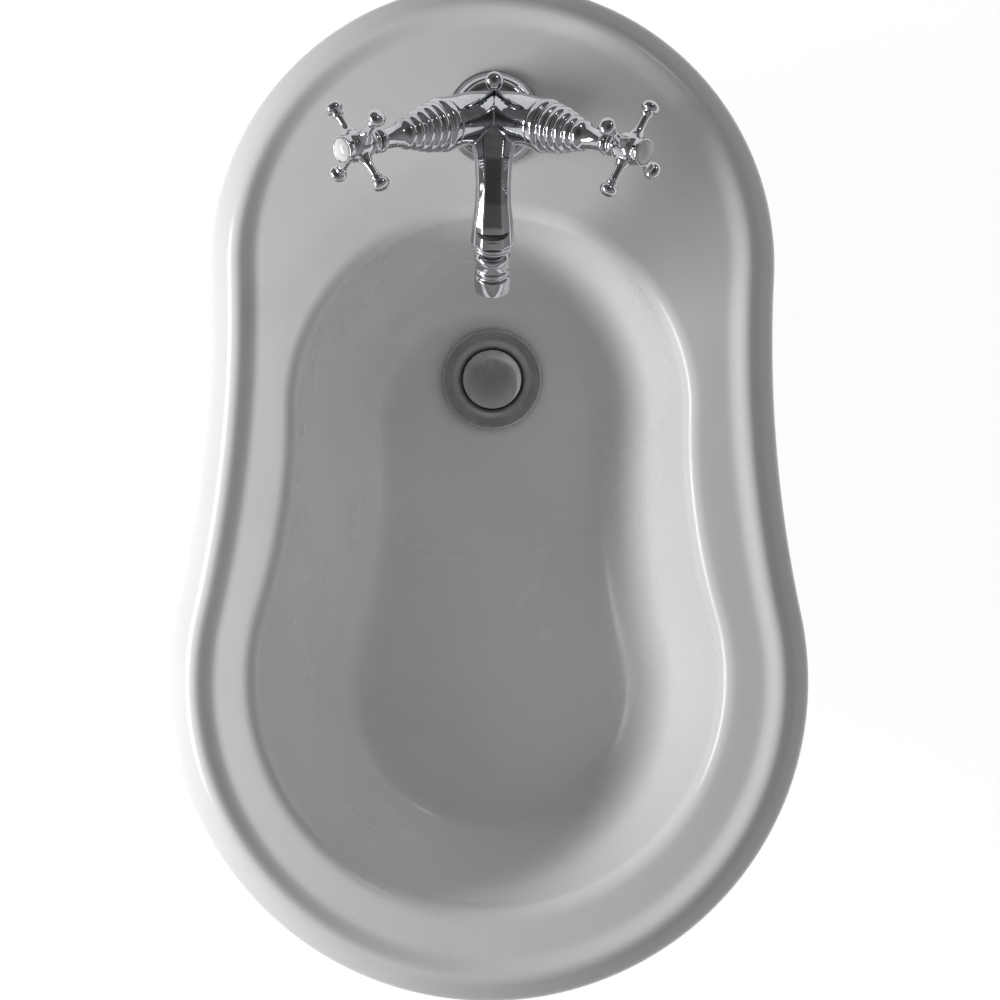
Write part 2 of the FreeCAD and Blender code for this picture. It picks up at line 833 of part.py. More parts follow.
def build_tap_body():
    """The casting that joins the base, both valve arms and the spout, with its waterways."""
    waist, fillet = d.column_radius, d.boss_fillet
    column = turned(
        "tap_column",
        [
            (0, 0),
            (d.boss_radius, 0),
            (d.boss_radius, d.boss_height - d.boss_round, d.boss_round, 1),
            (d.boss_radius - d.boss_round, d.boss_height),
            (waist + fillet, d.boss_height, fillet, -1),
            (waist, d.boss_height + fillet),
            (waist, d.valve_height, waist, 1),
            (0, d.valve_height + waist),
        ],
    )
    place(column, 0, tap_y, tap_z)
    radii = (d.spout_root_radius, d.spout_waist_radius, d.spout_waist_radius, d.spout_tip_radius)
    solids = [column, spout_solid("spout_form", radii)]
    bores = [spout_solid("spout_waterway", [d.spout_bore] * len(radii))]
    bores.append(at_outlet(rod("outlet_socket", d.socket_radius, -d.socket_depth, d.clear_gap)))
    for side, tag in ((1, "right"), (-1, "left")):
        arm = turned(
            f"{tag}_arm",
            [
                (0, 0),
                (d.arm_root_radius, 0),
                (d.arm_radius, d.seat_depth),
                (d.arm_radius, d.arm_length),
                (0, d.arm_length),
            ],
        )
        solids.append(on_valve(arm, side))
        bore = d.cartridge_radius + d.thread_gap
        chamber = rod(f"{tag}_valve_bore", bore, d.seat_depth, d.arm_length + d.clear_gap)
        bores.append(on_valve(chamber, side))
        bores.append(on_valve(rod(f"{tag}_port", d.waterway_radius, 0, d.seat_depth), side))
        inlet = rod(f"{tag}_inlet_bore", d.inlet_radius, -d.clear_gap, d.inlet_depth)
        bores.append(place(inlet, d.inlet_spacing * side / 2, tap_y, tap_z))
        riser = rod(f"{tag}_riser", d.waterway_radius, 0, d.valve_height)
        bores.append(place(riser, d.column_radius * side / 2, tap_y, tap_z))
    stud_bore = rod("stud_bore", d.stud_radius + d.thread_gap, -d.clear_gap, d.stud_grip)
    bores.append(place(stud_bore, 0, tap_y - d.stud_offset, tap_z))
    shoulder = d.boss_height + fillet + d.clear_gap
    rod_bore = rod("rod_bore", d.rod_radius + d.clear_gap, -d.clear_gap, shoulder)
    bores.append(place(rod_bore, 0, rod_y, tap_z))
    meet = d.seat_depth + d.waterway_radius
    level = meet * cosine(d.valve_rise_angle)
    cross = rod("mixing_passage", d.waterway_radius, -level, level)
    sideways = FreeCAD.Rotation(FreeCAD.Vector(0, 1, 0), 90)
    forward = level * sine(d.valve_sweep_angle)
    bores.append(place(cross, 0, tap_y - forward, valve_z + meet * sine(d.valve_rise_angle), sideways))
    keep(cut("tap_body", fuse("tap_casting", solids), bores))


def build_valve(side, tag, spin):
    """One headwork with its discs and spindle, the bonnet over it, and the cross handle."""
    seal_top = d.seat_depth + d.seat_seal_thickness
    moving = seal_top + d.disc_thickness + d.running_gap
    foot = moving + d.disc_thickness
    foot_top = foot + d.spindle_foot
    disc_room = d.disc_radius + d.clear_gap
    spindle_bore = d.spindle_radius + d.running_gap

    seal = ring(f"{tag}_seat_seal", d.waterway_radius, d.disc_radius, d.seat_depth, seal_top)
    keep(on_valve(seal, side))
    for name, low in (("fixed_disc", seal_top), ("moving_disc", moving)):
        disc = new_body(f"{tag}_{name}")
        sketch = new_sketch(disc, f"{tag}_{name}_plan", offset=(0, 0, low))
        draw_circle(sketch, 0, 0, d.disc_radius)
        for offset in (d.disc_port_offset, -d.disc_port_offset):
            draw_circle(sketch, offset, 0, d.disc_port_radius)
        extrude(disc, sketch, d.disc_thickness)
        keep(on_valve(disc, side))

    collar_top = d.arm_length + d.cap_thread_length
    headwork = turned(
        f"{tag}_headwork",
        [
            (disc_room, d.seat_depth),
            (d.cartridge_radius, d.seat_depth),
            (d.cartridge_radius, d.arm_length),
            (d.cap_thread_radius, d.arm_length),
            (d.cap_thread_radius, collar_top),
            (d.sleeve_radius, collar_top),
            (d.sleeve_radius, d.sleeve_end),
            (spindle_bore, d.sleeve_end),
            (spindle_bore, foot_top + d.clear_gap),
            (disc_room, foot_top + d.clear_gap),
        ],
    )
    keep(on_valve(headwork, side))

    tapped = d.screw_radius + d.thread_gap
    tapped_end = d.spindle_end - d.screw_length
    spindle = turned(
        f"{tag}_spindle",
        [
            (0, foot),
            (d.disc_radius, foot),
            (d.disc_radius, foot_top),
            (d.spindle_radius, foot_top),
            (d.spindle_radius, d.spindle_end),
            (tapped, d.spindle_end),
            (tapped, tapped_end),
            (0, tapped_end),
        ],
    )
    keep(on_valve(spindle, side))
    keep(on_valve(bonnet_body(f"{tag}_bonnet", collar_top, spindle_bore + d.clear_gap), side))
    build_handle(side, tag, spin, spindle_bore, tapped_end)


def bonnet_body(name, thread_end, mouth):
    """A stepped bell, screwed on the headwork, that hides it up to the handle."""
    base, tip = d.bonnet_radius, d.bonnet_tip_radius
    low, high = d.arm_length, d.bonnet_end
    span = high - low
    thread = d.cap_thread_radius + d.thread_gap
    steps = BONNET_FOOT + BONNET_NECK
    outside = [(base - (base - tip) * fall, low + span * rise) for rise, fall in steps]
    lip = d.bonnet_lip
    sleeve_cover, spindle_cover = BONNET_BORE
    inside = [
        (mouth, high),
        (mouth, low + span * spindle_cover),
        (d.sleeve_radius + d.clear_gap, low + span * sleeve_cover),
        (thread, thread_end + lip),
        (thread, low),
    ]
    crown = [(tip + lip, high - lip * 2), (tip + lip, high - lip), (tip, high)]
    return turned(name, [(base, low)] + outside + crown + inside)


def build_handle(side, tag, spin, bore, screw_low):
    """The cross handle with its screw and the button that covers it."""
    web_low = d.spindle_end + d.clear_gap
    web_high = web_low + d.hub_web
    recess = d.hub_end - d.button_depth
    seat = d.button_radius + d.running_gap
    head_room = d.screw_head_radius + d.clear_gap
    screw_room = d.screw_radius + d.clear_gap
    throat = d.hub_radius - d.hub_waist
    brim = d.button_radius + d.hub_brim
    knuckle = d.spoke_root_radius
    handle = turned(
        f"{tag}_handle",
        [
            (bore, d.hub_start),
            (throat, d.hub_start),
            (throat + d.hub_brim / 2, d.hub_start + d.hub_brim),
            (throat, d.hub_start + d.hub_brim * 3),
            (d.hub_radius, d.cross_height - knuckle),
            (d.hub_radius, d.cross_height + knuckle),
            (brim, recess),
            (brim, d.hub_end),
            (seat, d.hub_end),
            (seat, recess),
            (head_room, recess),
            (head_room, web_high),
            (screw_room, web_high),
            (screw_room, web_low),
            (bore, web_low),
        ],
    )
    hub_turn = handle.Tip
    spoke = new_sketch(handle, f"{tag}_spoke", "XZ_Plane", offset=(0, d.cross_height, 0))
    neck = d.spoke_reach - d.tip_length
    flare = d.hub_radius + knuckle
    draw_loop(
        spoke,
        [
            (d.hub_radius - d.hub_waist, 0),
            (d.hub_radius - d.hub_waist, knuckle),
            (d.hub_radius, knuckle),
            (flare, d.spoke_radius),
            (neck, d.spoke_radius, d.tip_round, -1),
            (neck + d.tip_length / 2, d.tip_radius, d.tip_round, -1),
            (d.spoke_reach, d.tip_radius / 2),
            (d.spoke_reach, 0),
        ],
    )
    arm = revolve(handle, spoke, axis="H_Axis")
    doc.recompute()
    pattern = handle.newObject("PartDesign::PolarPattern", f"{tag}_spokes")
    pattern.Originals = [arm]
    pattern.Axis = (hub_turn.Profile[0], ["V_Axis"])
    pattern.Angle = 360
    bind(pattern, "Occurrences", d.spoke_count)
    handle.Tip = pattern
    keep(on_valve(handle, side, spin.number))

    screw = turned(
        f"{tag}_handle_screw",
        [
            (0, screw_low + d.clear_gap),
            (d.screw_radius, screw_low + d.clear_gap),
            (d.screw_radius, web_high),
            (d.screw_head_radius, web_high),
            (d.screw_head_radius, web_high + d.screw_head_height),
            (0, web_high + d.screw_head_height),
        ],
    )
    keep(on_valve(screw, side))
    crown = d.hub_end + d.button_crown
    dome = dome_radius(d.button_radius, d.button_crown)
    button = turned(
        f"{tag}_index_button",
        [(0, recess), (d.button_radius, recess), (d.button_radius, d.hub_end, dome, 1), (0, crown)],
    )
    keep(on_valve(button, side))


def build_swivel():
    """The collar, seal and ball on the spout's outlet, and the nozzle that tilts on the ball."""
    centre = d.ball_centre
    room = d.ball_radius + d.clear_gap
    thread = d.socket_radius - d.thread_gap
    bevel = d.nozzle_groove
    collar = turned(
        "swivel_collar",
        [
            (room, -d.collar_spigot),
            (thread, -d.collar_spigot),
            (thread, 0),
            (d.collar_radius, 0),
            (d.collar_radius, d.collar_length - bevel),
            (d.collar_radius - bevel, d.collar_length),
            (d.collar_lip, d.collar_length),
            (room, centre),
        ],
    )
    keep(at_outlet(collar))
    seal_low = -d.socket_depth
    seal = ring(
        "swivel_seal", d.swivel_seal_bore, thread, seal_low, seal_low + d.swivel_seal_thickness
    )
    keep(at_outlet(seal))
    half = root(d.ball_radius * d.ball_radius - d.ball_bore * d.ball_bore)
    ball = turned(
        "swivel_ball",
        [(d.ball_bore, centre - half, d.ball_radius, 1), (d.ball_bore, centre + half)],
    )
    keep(at_outlet(ball))

    inner = root(room * room - d.ball_bore * d.ball_bore)
    edge = root(room * room - d.nozzle_cup * d.nozzle_cup)
    end = centre + d.nozzle_length
    groove = centre + (d.nozzle_shoulder + d.nozzle_length) / 2
    insert_bore = d.insert_radius + d.thread_gap
    insert_top = end - d.insert_recess
    insert_low = insert_top - d.insert_length
    nozzle = turned(
        "aerator_housing",
        [
            (d.ball_bore, centre + inner, room, -1),
            (edge, centre + d.nozzle_cup),
            (d.nozzle_radius, centre + d.nozzle_shoulder),
            (d.nozzle_radius, groove - bevel),
            (d.nozzle_radius - bevel, groove - bevel),
            (d.nozzle_radius - bevel, groove + bevel),
            (d.nozzle_radius, groove + bevel),
            (d.nozzle_radius, end - bevel),
            (d.nozzle_radius - bevel, end),
            (insert_bore, end),
            (insert_bore, insert_low),
            (d.ball_bore, insert_low),
        ],
    )
    keep(at_outlet(nozzle))
    keep(at_outlet(rod("aerator_insert", d.insert_radius, insert_low, insert_top)))


# The pop-up linkage: the lever passes beside the lift rod, and rests with the plug raised.
lever_yaw = arc_tangent(d.clamp_offset / (rod_y - drain_y))
lever_tilt = arc_sine(d.plug_travel / (2 * d.lever_inner))
lever_z = floor_z - d.lever_depth
lever_outer = (rod_y - drain_y) / cosine(lever_yaw) - d.lever_inner
clamp_z = lever_z - lever_outer * tangent(lever_tilt)
cone_bottom = d.waste_seal_thickness + d.waste_flange_height - d.cone_depth
plug_seal_radius = d.plug_radius - d.plug_seal_margin
cone_slope = d.cone_depth / (d.cone_top_radius - d.throat_radius)
plug_rise = (plug_seal_radius + d.clear_gap - d.throat_radius) * cone_slope
plug_shut = cone_bottom + plug_rise + d.plug_seal_section
plug_z = floor_z + plug_shut + d.plug_travel


def at_drain(thing, z):
    """Put a piece on the drain's axis, turned with the lever."""
    return place(thing, 0, drain_y, z, FreeCAD.Rotation(-lever_yaw.number, 0, 0))


def build_waste():
    """The flange in the bowl, its seals and nut, and the waste body under the bowl."""
    seat = d.waste_seal_thickness
    top = seat + d.waste_flange_height
    tube, end = d.waste_tube_radius, -d.waste_tube_length
    around = tube + d.clear_gap
    round_over = d.waste_flange_height - d.waste_flange_edge
    flange = turned(
        "waste_flange",
        [
            (d.waste_bore, end),
            (tube, end),
            (tube, seat),
            (d.waste_flange_radius, seat),
            (d.waste_flange_radius, seat + d.waste_flange_edge, round_over, 1),
            (d.waste_flange_radius - round_over, top),
            (d.cone_top_radius, top),
            (d.throat_radius, cone_bottom),
            (d.throat_radius, cone_bottom - d.throat_length),
            (d.waste_bore, cone_bottom - d.throat_length * 2),
        ],
    )
    keep(at_drain(flange, floor_z))
    keep(at_drain(ring("waste_upper_seal", around, d.waste_seal_radius, 0, seat), floor_z))
    under = -d.bowl_wall
    nut_top = under - d.lower_seal_thickness
    keep(at_drain(ring("waste_lower_seal", around, d.lower_seal_radius, nut_top, under), floor_z))

    nut = new_body("back_nut")
    sketch = new_sketch(nut, "back_nut_plan")
    draw_hexagon(sketch, d.back_nut_flats)
    draw_circle(sketch, 0, 0, tube + d.thread_gap)
    extrude(nut, sketch, d.back_nut_height, reverse=True)
    keep(at_drain(nut, floor_z + nut_top))

    build_waste_body(end)
    tail_top = end - d.chamber_length - d.clear_gap
    bead_top = end - d.chamber_length - d.tail_socket
    bead = d.tail_radius + d.tail_bead
    tail_end = bead_top - d.tail_length
    tail = turned(
        "tailpiece",
        [
            (d.tail_bore, tail_end),
            (d.tail_radius, tail_end),
            (d.tail_radius, bead_top - d.tail_bead),
            (bead, bead_top - d.tail_bead),
            (bead, bead_top),
            (d.tail_radius, bead_top),
            (d.tail_radius, tail_top),
            (d.tail_bore, tail_top),
        ],
    )
    keep(at_drain(tail, floor_z))


def build_waste_body(tube_end):
    """The chamber under the drain, with a branch behind it for the lever's ball."""
    chamber_end = tube_end - d.chamber_length
    low = chamber_end - d.tail_socket
    socket = d.waste_tube_radius + d.thread_gap
    tail_room = d.tail_radius + d.thread_gap
    high = tube_end + d.waste_socket_length
    body = turned(
        "waste_body",
        [
            (tail_room, low),
            (tail_room + d.waste_wall, low),
            (tail_room + d.waste_wall, chamber_end),
            (d.waste_body_radius, chamber_end + d.waste_wall * 2),
            (d.waste_body_radius, high),
            (socket, high),
            (socket, tube_end),
            (d.waste_bore, tube_end),
            (d.waste_bore, chamber_end + d.waste_wall),
            (d.tail_bore, chamber_end),
            (tail_room, chamber_end),
        ],
    )
    start = (d.waste_bore + d.waste_body_radius) / 2
    branch = new_sketch(body, "branch_plan", "XZ_Plane", offset=(0, 0, -start))
    draw_circle(branch, 0, -d.lever_depth, d.branch_radius)
    extrude(body, branch, d.branch_end - start, reverse=True)
    reach = ball_seal_start()
    for name, radius, inner_end in (
        ("branch_bore", d.lever_ball_radius + d.clear_gap, reach),
        ("branch_passage", d.ball_nut_mouth, d.stem_radius),
    ):
        sketch = new_sketch(body, name, "XZ_Plane", offset=(0, 0, -d.branch_end))
        draw_circle(sketch, 0, -d.lever_depth, radius)
        extrude(body, sketch, d.branch_end - inner_end, "Pocket", reverse=True)
    keep(at_drain(body, floor_z))


def ball_seal_start():
    """How far behind the drain's axis the seal under the lever's ball begins."""
    mouth, ball = d.ball_nut_mouth, d.lever_ball_radius
    return d.lever_inner - root(ball * ball - mouth * mouth) - d.clear_gap - d.ball_seal_thickness


def at_lever(thing, tilt):
    """Put a piece on the lever's pivot, with its +Z outwards along the branch, tilted down."""
    turn = FreeCAD.Rotation(-lever_yaw.number, 0, 0) * FreeCAD.Rotation(
        FreeCAD.Vector(1, 0, 0), -90 - tilt
    )
    x = d.lever_inner * sine(lever_yaw)
    y = drain_y + d.lever_inner * cosine(lever_yaw)
    return place(thing, x, y, lever_z, turn)


def build_linkage():
    """The lever on its ball, the lift rod with its knob, and the clamp that joins them."""
    mouth, ball = d.ball_nut_mouth, d.lever_ball_radius
    start = ball_seal_start() - d.lever_inner
    room = ball + d.clear_gap - d.thread_gap
    seal = ring("ball_seal", mouth, room, start, start + d.ball_seal_thickness)
    keep(at_lever(seal, 0))
    face = root(ball * ball - mouth * mouth) + d.clear_gap
    nut_low = d.waste_body_radius + d.clear_gap - d.lever_inner
    thread = d.branch_radius + d.thread_gap
    nut = turned(
        "ball_nut",
        [
            (thread, nut_low),
            (d.ball_nut_radius, nut_low),
            (d.ball_nut_radius, face + d.ball_nut_wall),
            (mouth, face + d.ball_nut_wall),
            (mouth, face),
            (thread, face),
        ],
    )
    keep(at_lever(nut, 0))

    shaft = d.lever_radius
    swell = root(ball * ball - shaft * shaft)
    inner_end = -(d.lever_inner + d.eye_thickness)
    outer_end = lever_outer + d.lever_overhang
    lever = turned(
        "lever",
        [
            (0, inner_end),
            (shaft, inner_end),
            (shaft, -swell, ball, 1),
            (shaft, swell),
            (shaft, outer_end),
            (0, outer_end),
        ],
    )
    keep(at_lever(lever, lever_tilt.number))

    knob_z = deck_z + d.knob_start
    grip = d.knob_height / 2
    shaft_top = knob_z + grip
    keep(place(rod("lift_rod", d.rod_radius, clamp_z - d.rod_tail, shaft_top), 0, rod_y, 0))
    bore = d.rod_radius + d.thread_gap
    collar = bore + d.knob_collar
    ball_grip = d.knob_radius
    knob = turned(
        "lift_knob",
        [
            (bore, 0),
            (collar, 0),
            (collar, grip - root(ball_grip * ball_grip - collar * collar), ball_grip, 1),
            (ball_grip, grip, dome_radius(ball_grip, d.knob_height - grip), 1),
            (0, d.knob_height),
            (0, grip),
            (bore, grip),
        ],
    )
    keep(place(knob, 0, rod_y, knob_z))
    build_clamp(bore)


def build_clamp(bore):
    """The block that a thumb screw fixes to the lift rod, with a loose hole for the lever."""
    left = d.rod_radius + d.clamp_border
    right = d.clamp_offset + d.clamp_hole_radius + d.clamp_border
    deep = d.clamp_depth / 2
    clamp = new_body("rod_clamp")
    block = new_sketch(clamp, "rod_clamp_plan", offset=(0, 0, -d.clamp_height / 2))
    draw_loop(block, [(-left, -deep), (right, -deep), (right, deep), (-left, deep)])
    draw_circle(block, 0, 0, bore)
    extrude(clamp, block, d.clamp_height)
    loose = new_sketch(clamp, "rod_clamp_loose_hole", "XZ_Plane")
    draw_circle(loose, d.clamp_offset, 0, d.clamp_hole_radius)
    extrude(clamp, loose, d.clamp_depth * 2, "Pocket", both=True)
    tapped = new_sketch(clamp, "rod_clamp_tapped_hole", "YZ_Plane")
    draw_circle(tapped, 0, 0, d.thumb_shank_radius + d.thread_gap)
    extrude(clamp, tapped, left * 2, "Pocket")
    keep(place(clamp, 0, rod_y, clamp_z))

    shank = left - d.rod_radius - d.thread_gap
    thumb = turned(
        "clamp_screw",
        [
            (0, -shank),
            (d.thumb_shank_radius, -shank),
            (d.thumb_shank_radius, 0),
            (d.thumb_radius, 0),
            (d.thumb_radius, d.thumb_thickness),
            (0, d.thumb_thickness),
        ],
    )
    sideways = FreeCAD.Rotation(FreeCAD.Vector(0, 1, 0), -90)
    keep(place(thumb, -left, rod_y, clamp_z, sideways))


def build_plug():
    """The plug with its seal, on a stem that the lever lifts."""
    rim, edge = d.plug_radius, d.plug_edge
    spigot = plug_seal_radius - d.plug_seal_width
    low = -d.plug_seal_section
    dome = dome_radius(rim, d.plug_crown)
    bore = d.stem_radius + d.thread_gap
    plug = turned(
        "plug",
        [
            (bore, low),
            (spigot, low),
            (spigot, 0),
            (rim, 0),
            (rim, edge, dome, 1),
            (0, edge + d.plug_crown),
            (0, edge),
            (bore, edge),
        ],
    )
    keep(at_drain(plug, plug_z))
    keep(at_drain(ring("plug_seal", spigot, plug_seal_radius, low, 0), plug_z))

    eye_z = lever_z + d.plug_travel / 2 - plug_z
    half_eye = d.eye_width / 2
    stem = turned(
        "plug_stem",
        [
            (0, eye_z + half_eye),
            (d.stem_radius, eye_z + half_eye),
            (d.stem_radius, edge - d.clear_gap),
            (0, edge - d.clear_gap),
        ],
    )
    reach = d.throat_radius - d.clear_gap
    thin = d.fin_thickness / 2
    for name, across, along in (("fin_across", reach, thin), ("fin_along", thin, reach)):
        sketch = new_sketch(stem, name, offset=(0, 0, low))
        draw_loop(sketch, [(-across, -along), (across, -along), (across, along), (-across, along)])
        extrude(stem, sketch, d.fin_height, reverse=True)
    eye = new_sketch(stem, "eye_block", "XZ_Plane")
    bottom, top = eye_z - half_eye, eye_z + half_eye
    draw_loop(eye, [(-half_eye, bottom), (half_eye, bottom), (half_eye, top), (-half_eye, top)])
    draw_circle(eye, 0, eye_z, d.eye_hole_radius)
    extrude(stem, eye, d.eye_thickness, both=True)
    keep(at_drain(stem, plug_z))


def finish_document():
    """Check every object, then write one file per sub-part."""
    doc.recompute()
    for thing in doc.Objects:
        if {"Invalid", "Error"} & set(thing.State):
            raise RuntimeError(f"{thing.Label} did not build: {thing.State}")
    os.makedirs("parts", exist_ok=True)
    for node in nodes:
        if node.Shape.isNull() or not node.Shape.isValid():
            raise RuntimeError(f"{node.Label} has no valid shape")
        node.Shape.exportStep(f"parts/{node.Label}.step")
        print(f"{node.Label}: {node.Shape.Volume / 1000:.2f} cm3")


build_rim()
build_bowl()
build_pedestal()
build_foot()
build_tap_base()
build_tap_body()
build_valve(1, "right", d.right_spin_angle)
build_valve(-1, "left", d.left_spin_angle)
build_swivel()
build_waste()
build_linkage()
build_plug()
finish_document()
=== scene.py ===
"""Looks of a floor-standing bidet: glazed ceramic, chromed mixer tap and pop-up waste."""

import json
import logging
import math
from dataclasses import dataclass
from enum import Enum
from typing import Iterable, NamedTuple, Optional, Sequence

import bmesh
import bpy
from bmesh.types import BMEdge, BMesh, BMVert
from bpy.types import ID, Material, Mesh, Node, NodeOutputs, NodeSocket, NodeTree, Object
from mathutils import Matrix, Vector


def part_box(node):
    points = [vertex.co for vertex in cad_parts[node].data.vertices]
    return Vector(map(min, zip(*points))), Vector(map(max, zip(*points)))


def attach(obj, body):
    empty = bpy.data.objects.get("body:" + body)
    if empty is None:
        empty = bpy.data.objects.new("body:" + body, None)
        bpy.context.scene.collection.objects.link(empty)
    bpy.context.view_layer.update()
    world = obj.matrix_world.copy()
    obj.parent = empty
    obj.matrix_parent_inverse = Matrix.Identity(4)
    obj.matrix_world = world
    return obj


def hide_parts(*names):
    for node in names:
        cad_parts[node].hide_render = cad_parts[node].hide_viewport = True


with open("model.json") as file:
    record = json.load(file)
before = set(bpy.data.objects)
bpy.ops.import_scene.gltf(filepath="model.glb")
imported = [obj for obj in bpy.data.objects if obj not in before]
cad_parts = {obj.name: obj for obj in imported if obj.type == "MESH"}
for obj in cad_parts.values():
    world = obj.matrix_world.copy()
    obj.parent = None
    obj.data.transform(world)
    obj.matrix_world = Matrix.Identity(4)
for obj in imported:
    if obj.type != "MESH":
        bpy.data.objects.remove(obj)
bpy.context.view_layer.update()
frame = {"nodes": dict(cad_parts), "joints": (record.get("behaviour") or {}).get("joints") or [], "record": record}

log = logging.getLogger("bidet")

MM = 0.001
CAD_BODY = "base"
SHARP_ANGLE = math.radians(38)
CAST_ANGLE = math.radians(60)
WELD = 0.002
FIT = 0.12
ROUND = 0.5
SMOOTH_SHARE = 0.5
CORNER_STEPS = 5
RING_STEPS = 8

Colour = tuple[float, float, float]
Place = tuple[float, float, float]
Span = tuple[object, object]
Rows = tuple[tuple[float, ...], ...]
Profile = Sequence[tuple[float, ...]]
Inputs = tuple[tuple[str, float], ...]
Outputs = tuple[tuple[str, str], ...]

UNIT: Span = (0.0, 1.0)


class Side(Enum):
    """The two valves, named for the hand that turns them."""

    RIGHT = "right"
    LEFT = "left"

    @property
    def joint(self) -> dict:
        """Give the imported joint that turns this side's handle."""
        return joint_named(f"{self.value}_handle_turn")


class Flats(Enum):
    """How many flats make a full turn."""

    BROAD = 128
    PLAIN = 96
    SMALL = 64
    ROD = 48
    HOLE = 32
    PIN = 24


class Corner(NamedTuple):
    """A corner of a turned profile, in millimetres, with the radius that eases it."""

    radius: float
    height: float
    ease: float = 0.0


def joint_named(name: str) -> dict:
    """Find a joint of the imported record, with its axis and place."""
    return next(joint for joint in frame["joints"] if joint["name"] == name)


def along(axis: Sequence[float], origin: Sequence[float]) -> Matrix:
    """Make the placement that turns +Z to an axis, at an origin in millimetres."""
    turn = Vector((0, 0, 1)).rotation_difference(Vector(axis)).to_matrix().to_4x4()
    return Matrix.Translation(Vector(origin)) @ turn


def middle(node: str) -> Vector:
    """Give the middle of a solid's box, in millimetres."""
    low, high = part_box(node)
    return (low + high) / 2 / MM


def tidy(bm: BMesh) -> None:
    """Merge doubled points and turn the faces outwards."""
    bmesh.ops.remove_doubles(bm, verts=bm.verts, dist=WELD)
    bmesh.ops.recalc_face_normals(bm, faces=bm.faces)


def turned(
    profile: Profile, flats: Flats = Flats.PLAIN, closed: bool = False, place: Optional[Matrix] = None
) -> BMesh:
    """Spin a profile about its own Z axis.

    Args:
        profile: The radius, height and easing radius of each corner, from one end to the other.
        flats: How many flats make the full turn.
        closed: Whether the last corner joins the first one.
        place: Where the mesh goes afterwards.

    Returns:
        A closed mesh in millimetres, with its faces outwards.
    """
    bm = bmesh.new()
    corners = [Corner(*row) for row in profile]
    verts = [bm.verts.new((c.radius, 0, c.height)) for c in corners]
    ring = verts + verts[:1] if closed else verts
    for pair in zip(ring, ring[1:]):
        bm.edges.new(pair)
    for ease in sorted({c.ease for c in corners if c.ease}):
        chosen = [v for v, c in zip(verts, corners) if c.ease == ease]
        bmesh.ops.bevel(
            bm, geom=chosen, offset=ease, offset_type="OFFSET", segments=CORNER_STEPS, profile=ROUND,
            affect="VERTICES", material=-1,
        )
    bmesh.ops.spin(
        bm, geom=bm.verts[:] + bm.edges[:], cent=(0, 0, 0), axis=(0, 0, 1),
        angle=math.tau, steps=flats.value, use_merge=True,
    )
    tidy(bm)
    if place is not None:
        bm.transform(place)
    return bm


def peg(radius: float, low: float, high: float, flats: Flats, place: Matrix) -> BMesh:
    """Make the plain cylinder that cuts a round hole."""
    return turned([(0, low), (radius, low), (radius, high), (0, high)], flats, place=place)


def dome(rim: float, foot: float, rise: float, count: int = 10) -> list[tuple[float, float]]:
    """Give the corners of a shallow dome, from its rim up to the axis.

    Args:
        rim: The radius of the dome's rim.
        foot: The height of the rim.
        rise: How far the crown stands above the rim.
        count: How many corners the curve has.

    Returns:
        The corners after the rim, ending on the axis.
    """
    ball = (rim**2 + rise**2) / (2 * rise)
    spread = math.asin(min(1.0, rim / ball))
    angles = [spread * (1 - step / count) for step in range(1, count + 1)]
    return [(ball * math.sin(a), foot + rise - ball * (1 - math.cos(a))) for a in angles]


def start_ring(bm: BMesh, points: Sequence[Vector]) -> tuple[list[BMVert], list[BMEdge]]:
    """Draw a closed ring, and give its points and edges in order."""
    verts = [bm.verts.new(point) for point in points]
    return verts, [bm.edges.new(pair) for pair in zip(verts, verts[1:] + verts[:1])]


def extrude_ring(
    bm: BMesh, verts: list[BMVert], edges: list[BMEdge], points: Sequence[Vector]
) -> tuple[list[BMVert], list[BMEdge]]:
    """Extrude a ring and move the new one to its points.

    Args:
        bm: The mesh.
        verts: The ring's points, in order.
        edges: The ring's edges, in order.
        points: Where the new ring's points go, in order.

    Returns:
        The new ring's points and edges, in order.
    """
    grown = bmesh.ops.extrude_edge_only(bm, edges=edges)["geom"]
    fresh = {item for item in grown if isinstance(item, BMVert)}
    ahead = [next(e.other_vert(v) for e in v.link_edges if e.other_vert(v) in fresh) for v in verts]
    for vert, point in zip(ahead, points):
        vert.co = point
    return ahead, [bm.edges.get(pair) for pair in zip(ahead, ahead[1:] + ahead[:1])]


def link(name: str, data: ID) -> Object:
    """Put a mesh, a lamp or a camera in the scene."""
    item = bpy.data.objects.new(name, data)
    bpy.context.scene.collection.objects.link(item)
    return item


def show(name: str, bm: BMesh) -> Object:
    """Put a mesh in the scene.

    Args:
        name: The name of the object and of its mesh.
        bm: The mesh, which is freed.

    Returns:
        The new object.
    """
    mesh = bpy.data.meshes.new(name)
    bm.to_mesh(mesh)
    bm.free()
    return link(name, mesh)


def discard(item: Object) -> None:
    """Remove an object and its mesh."""
    mesh = item.data
    bpy.data.objects.remove(item)
    bpy.data.meshes.remove(mesh)


def add_mesh(bm: BMesh, other: BMesh, place: Optional[Matrix] = None) -> None:
    """Add one mesh to another.

    Args:
        bm: The mesh that grows.
        other: The mesh that is added, and freed.
        place: Where it goes.
    """
    if place is not None:
        other.transform(place)
    spare = bpy.data.meshes.new("spare")
    other.to_mesh(spare)
    other.free()
    bm.from_mesh(spare)
    bpy.data.meshes.remove(spare)


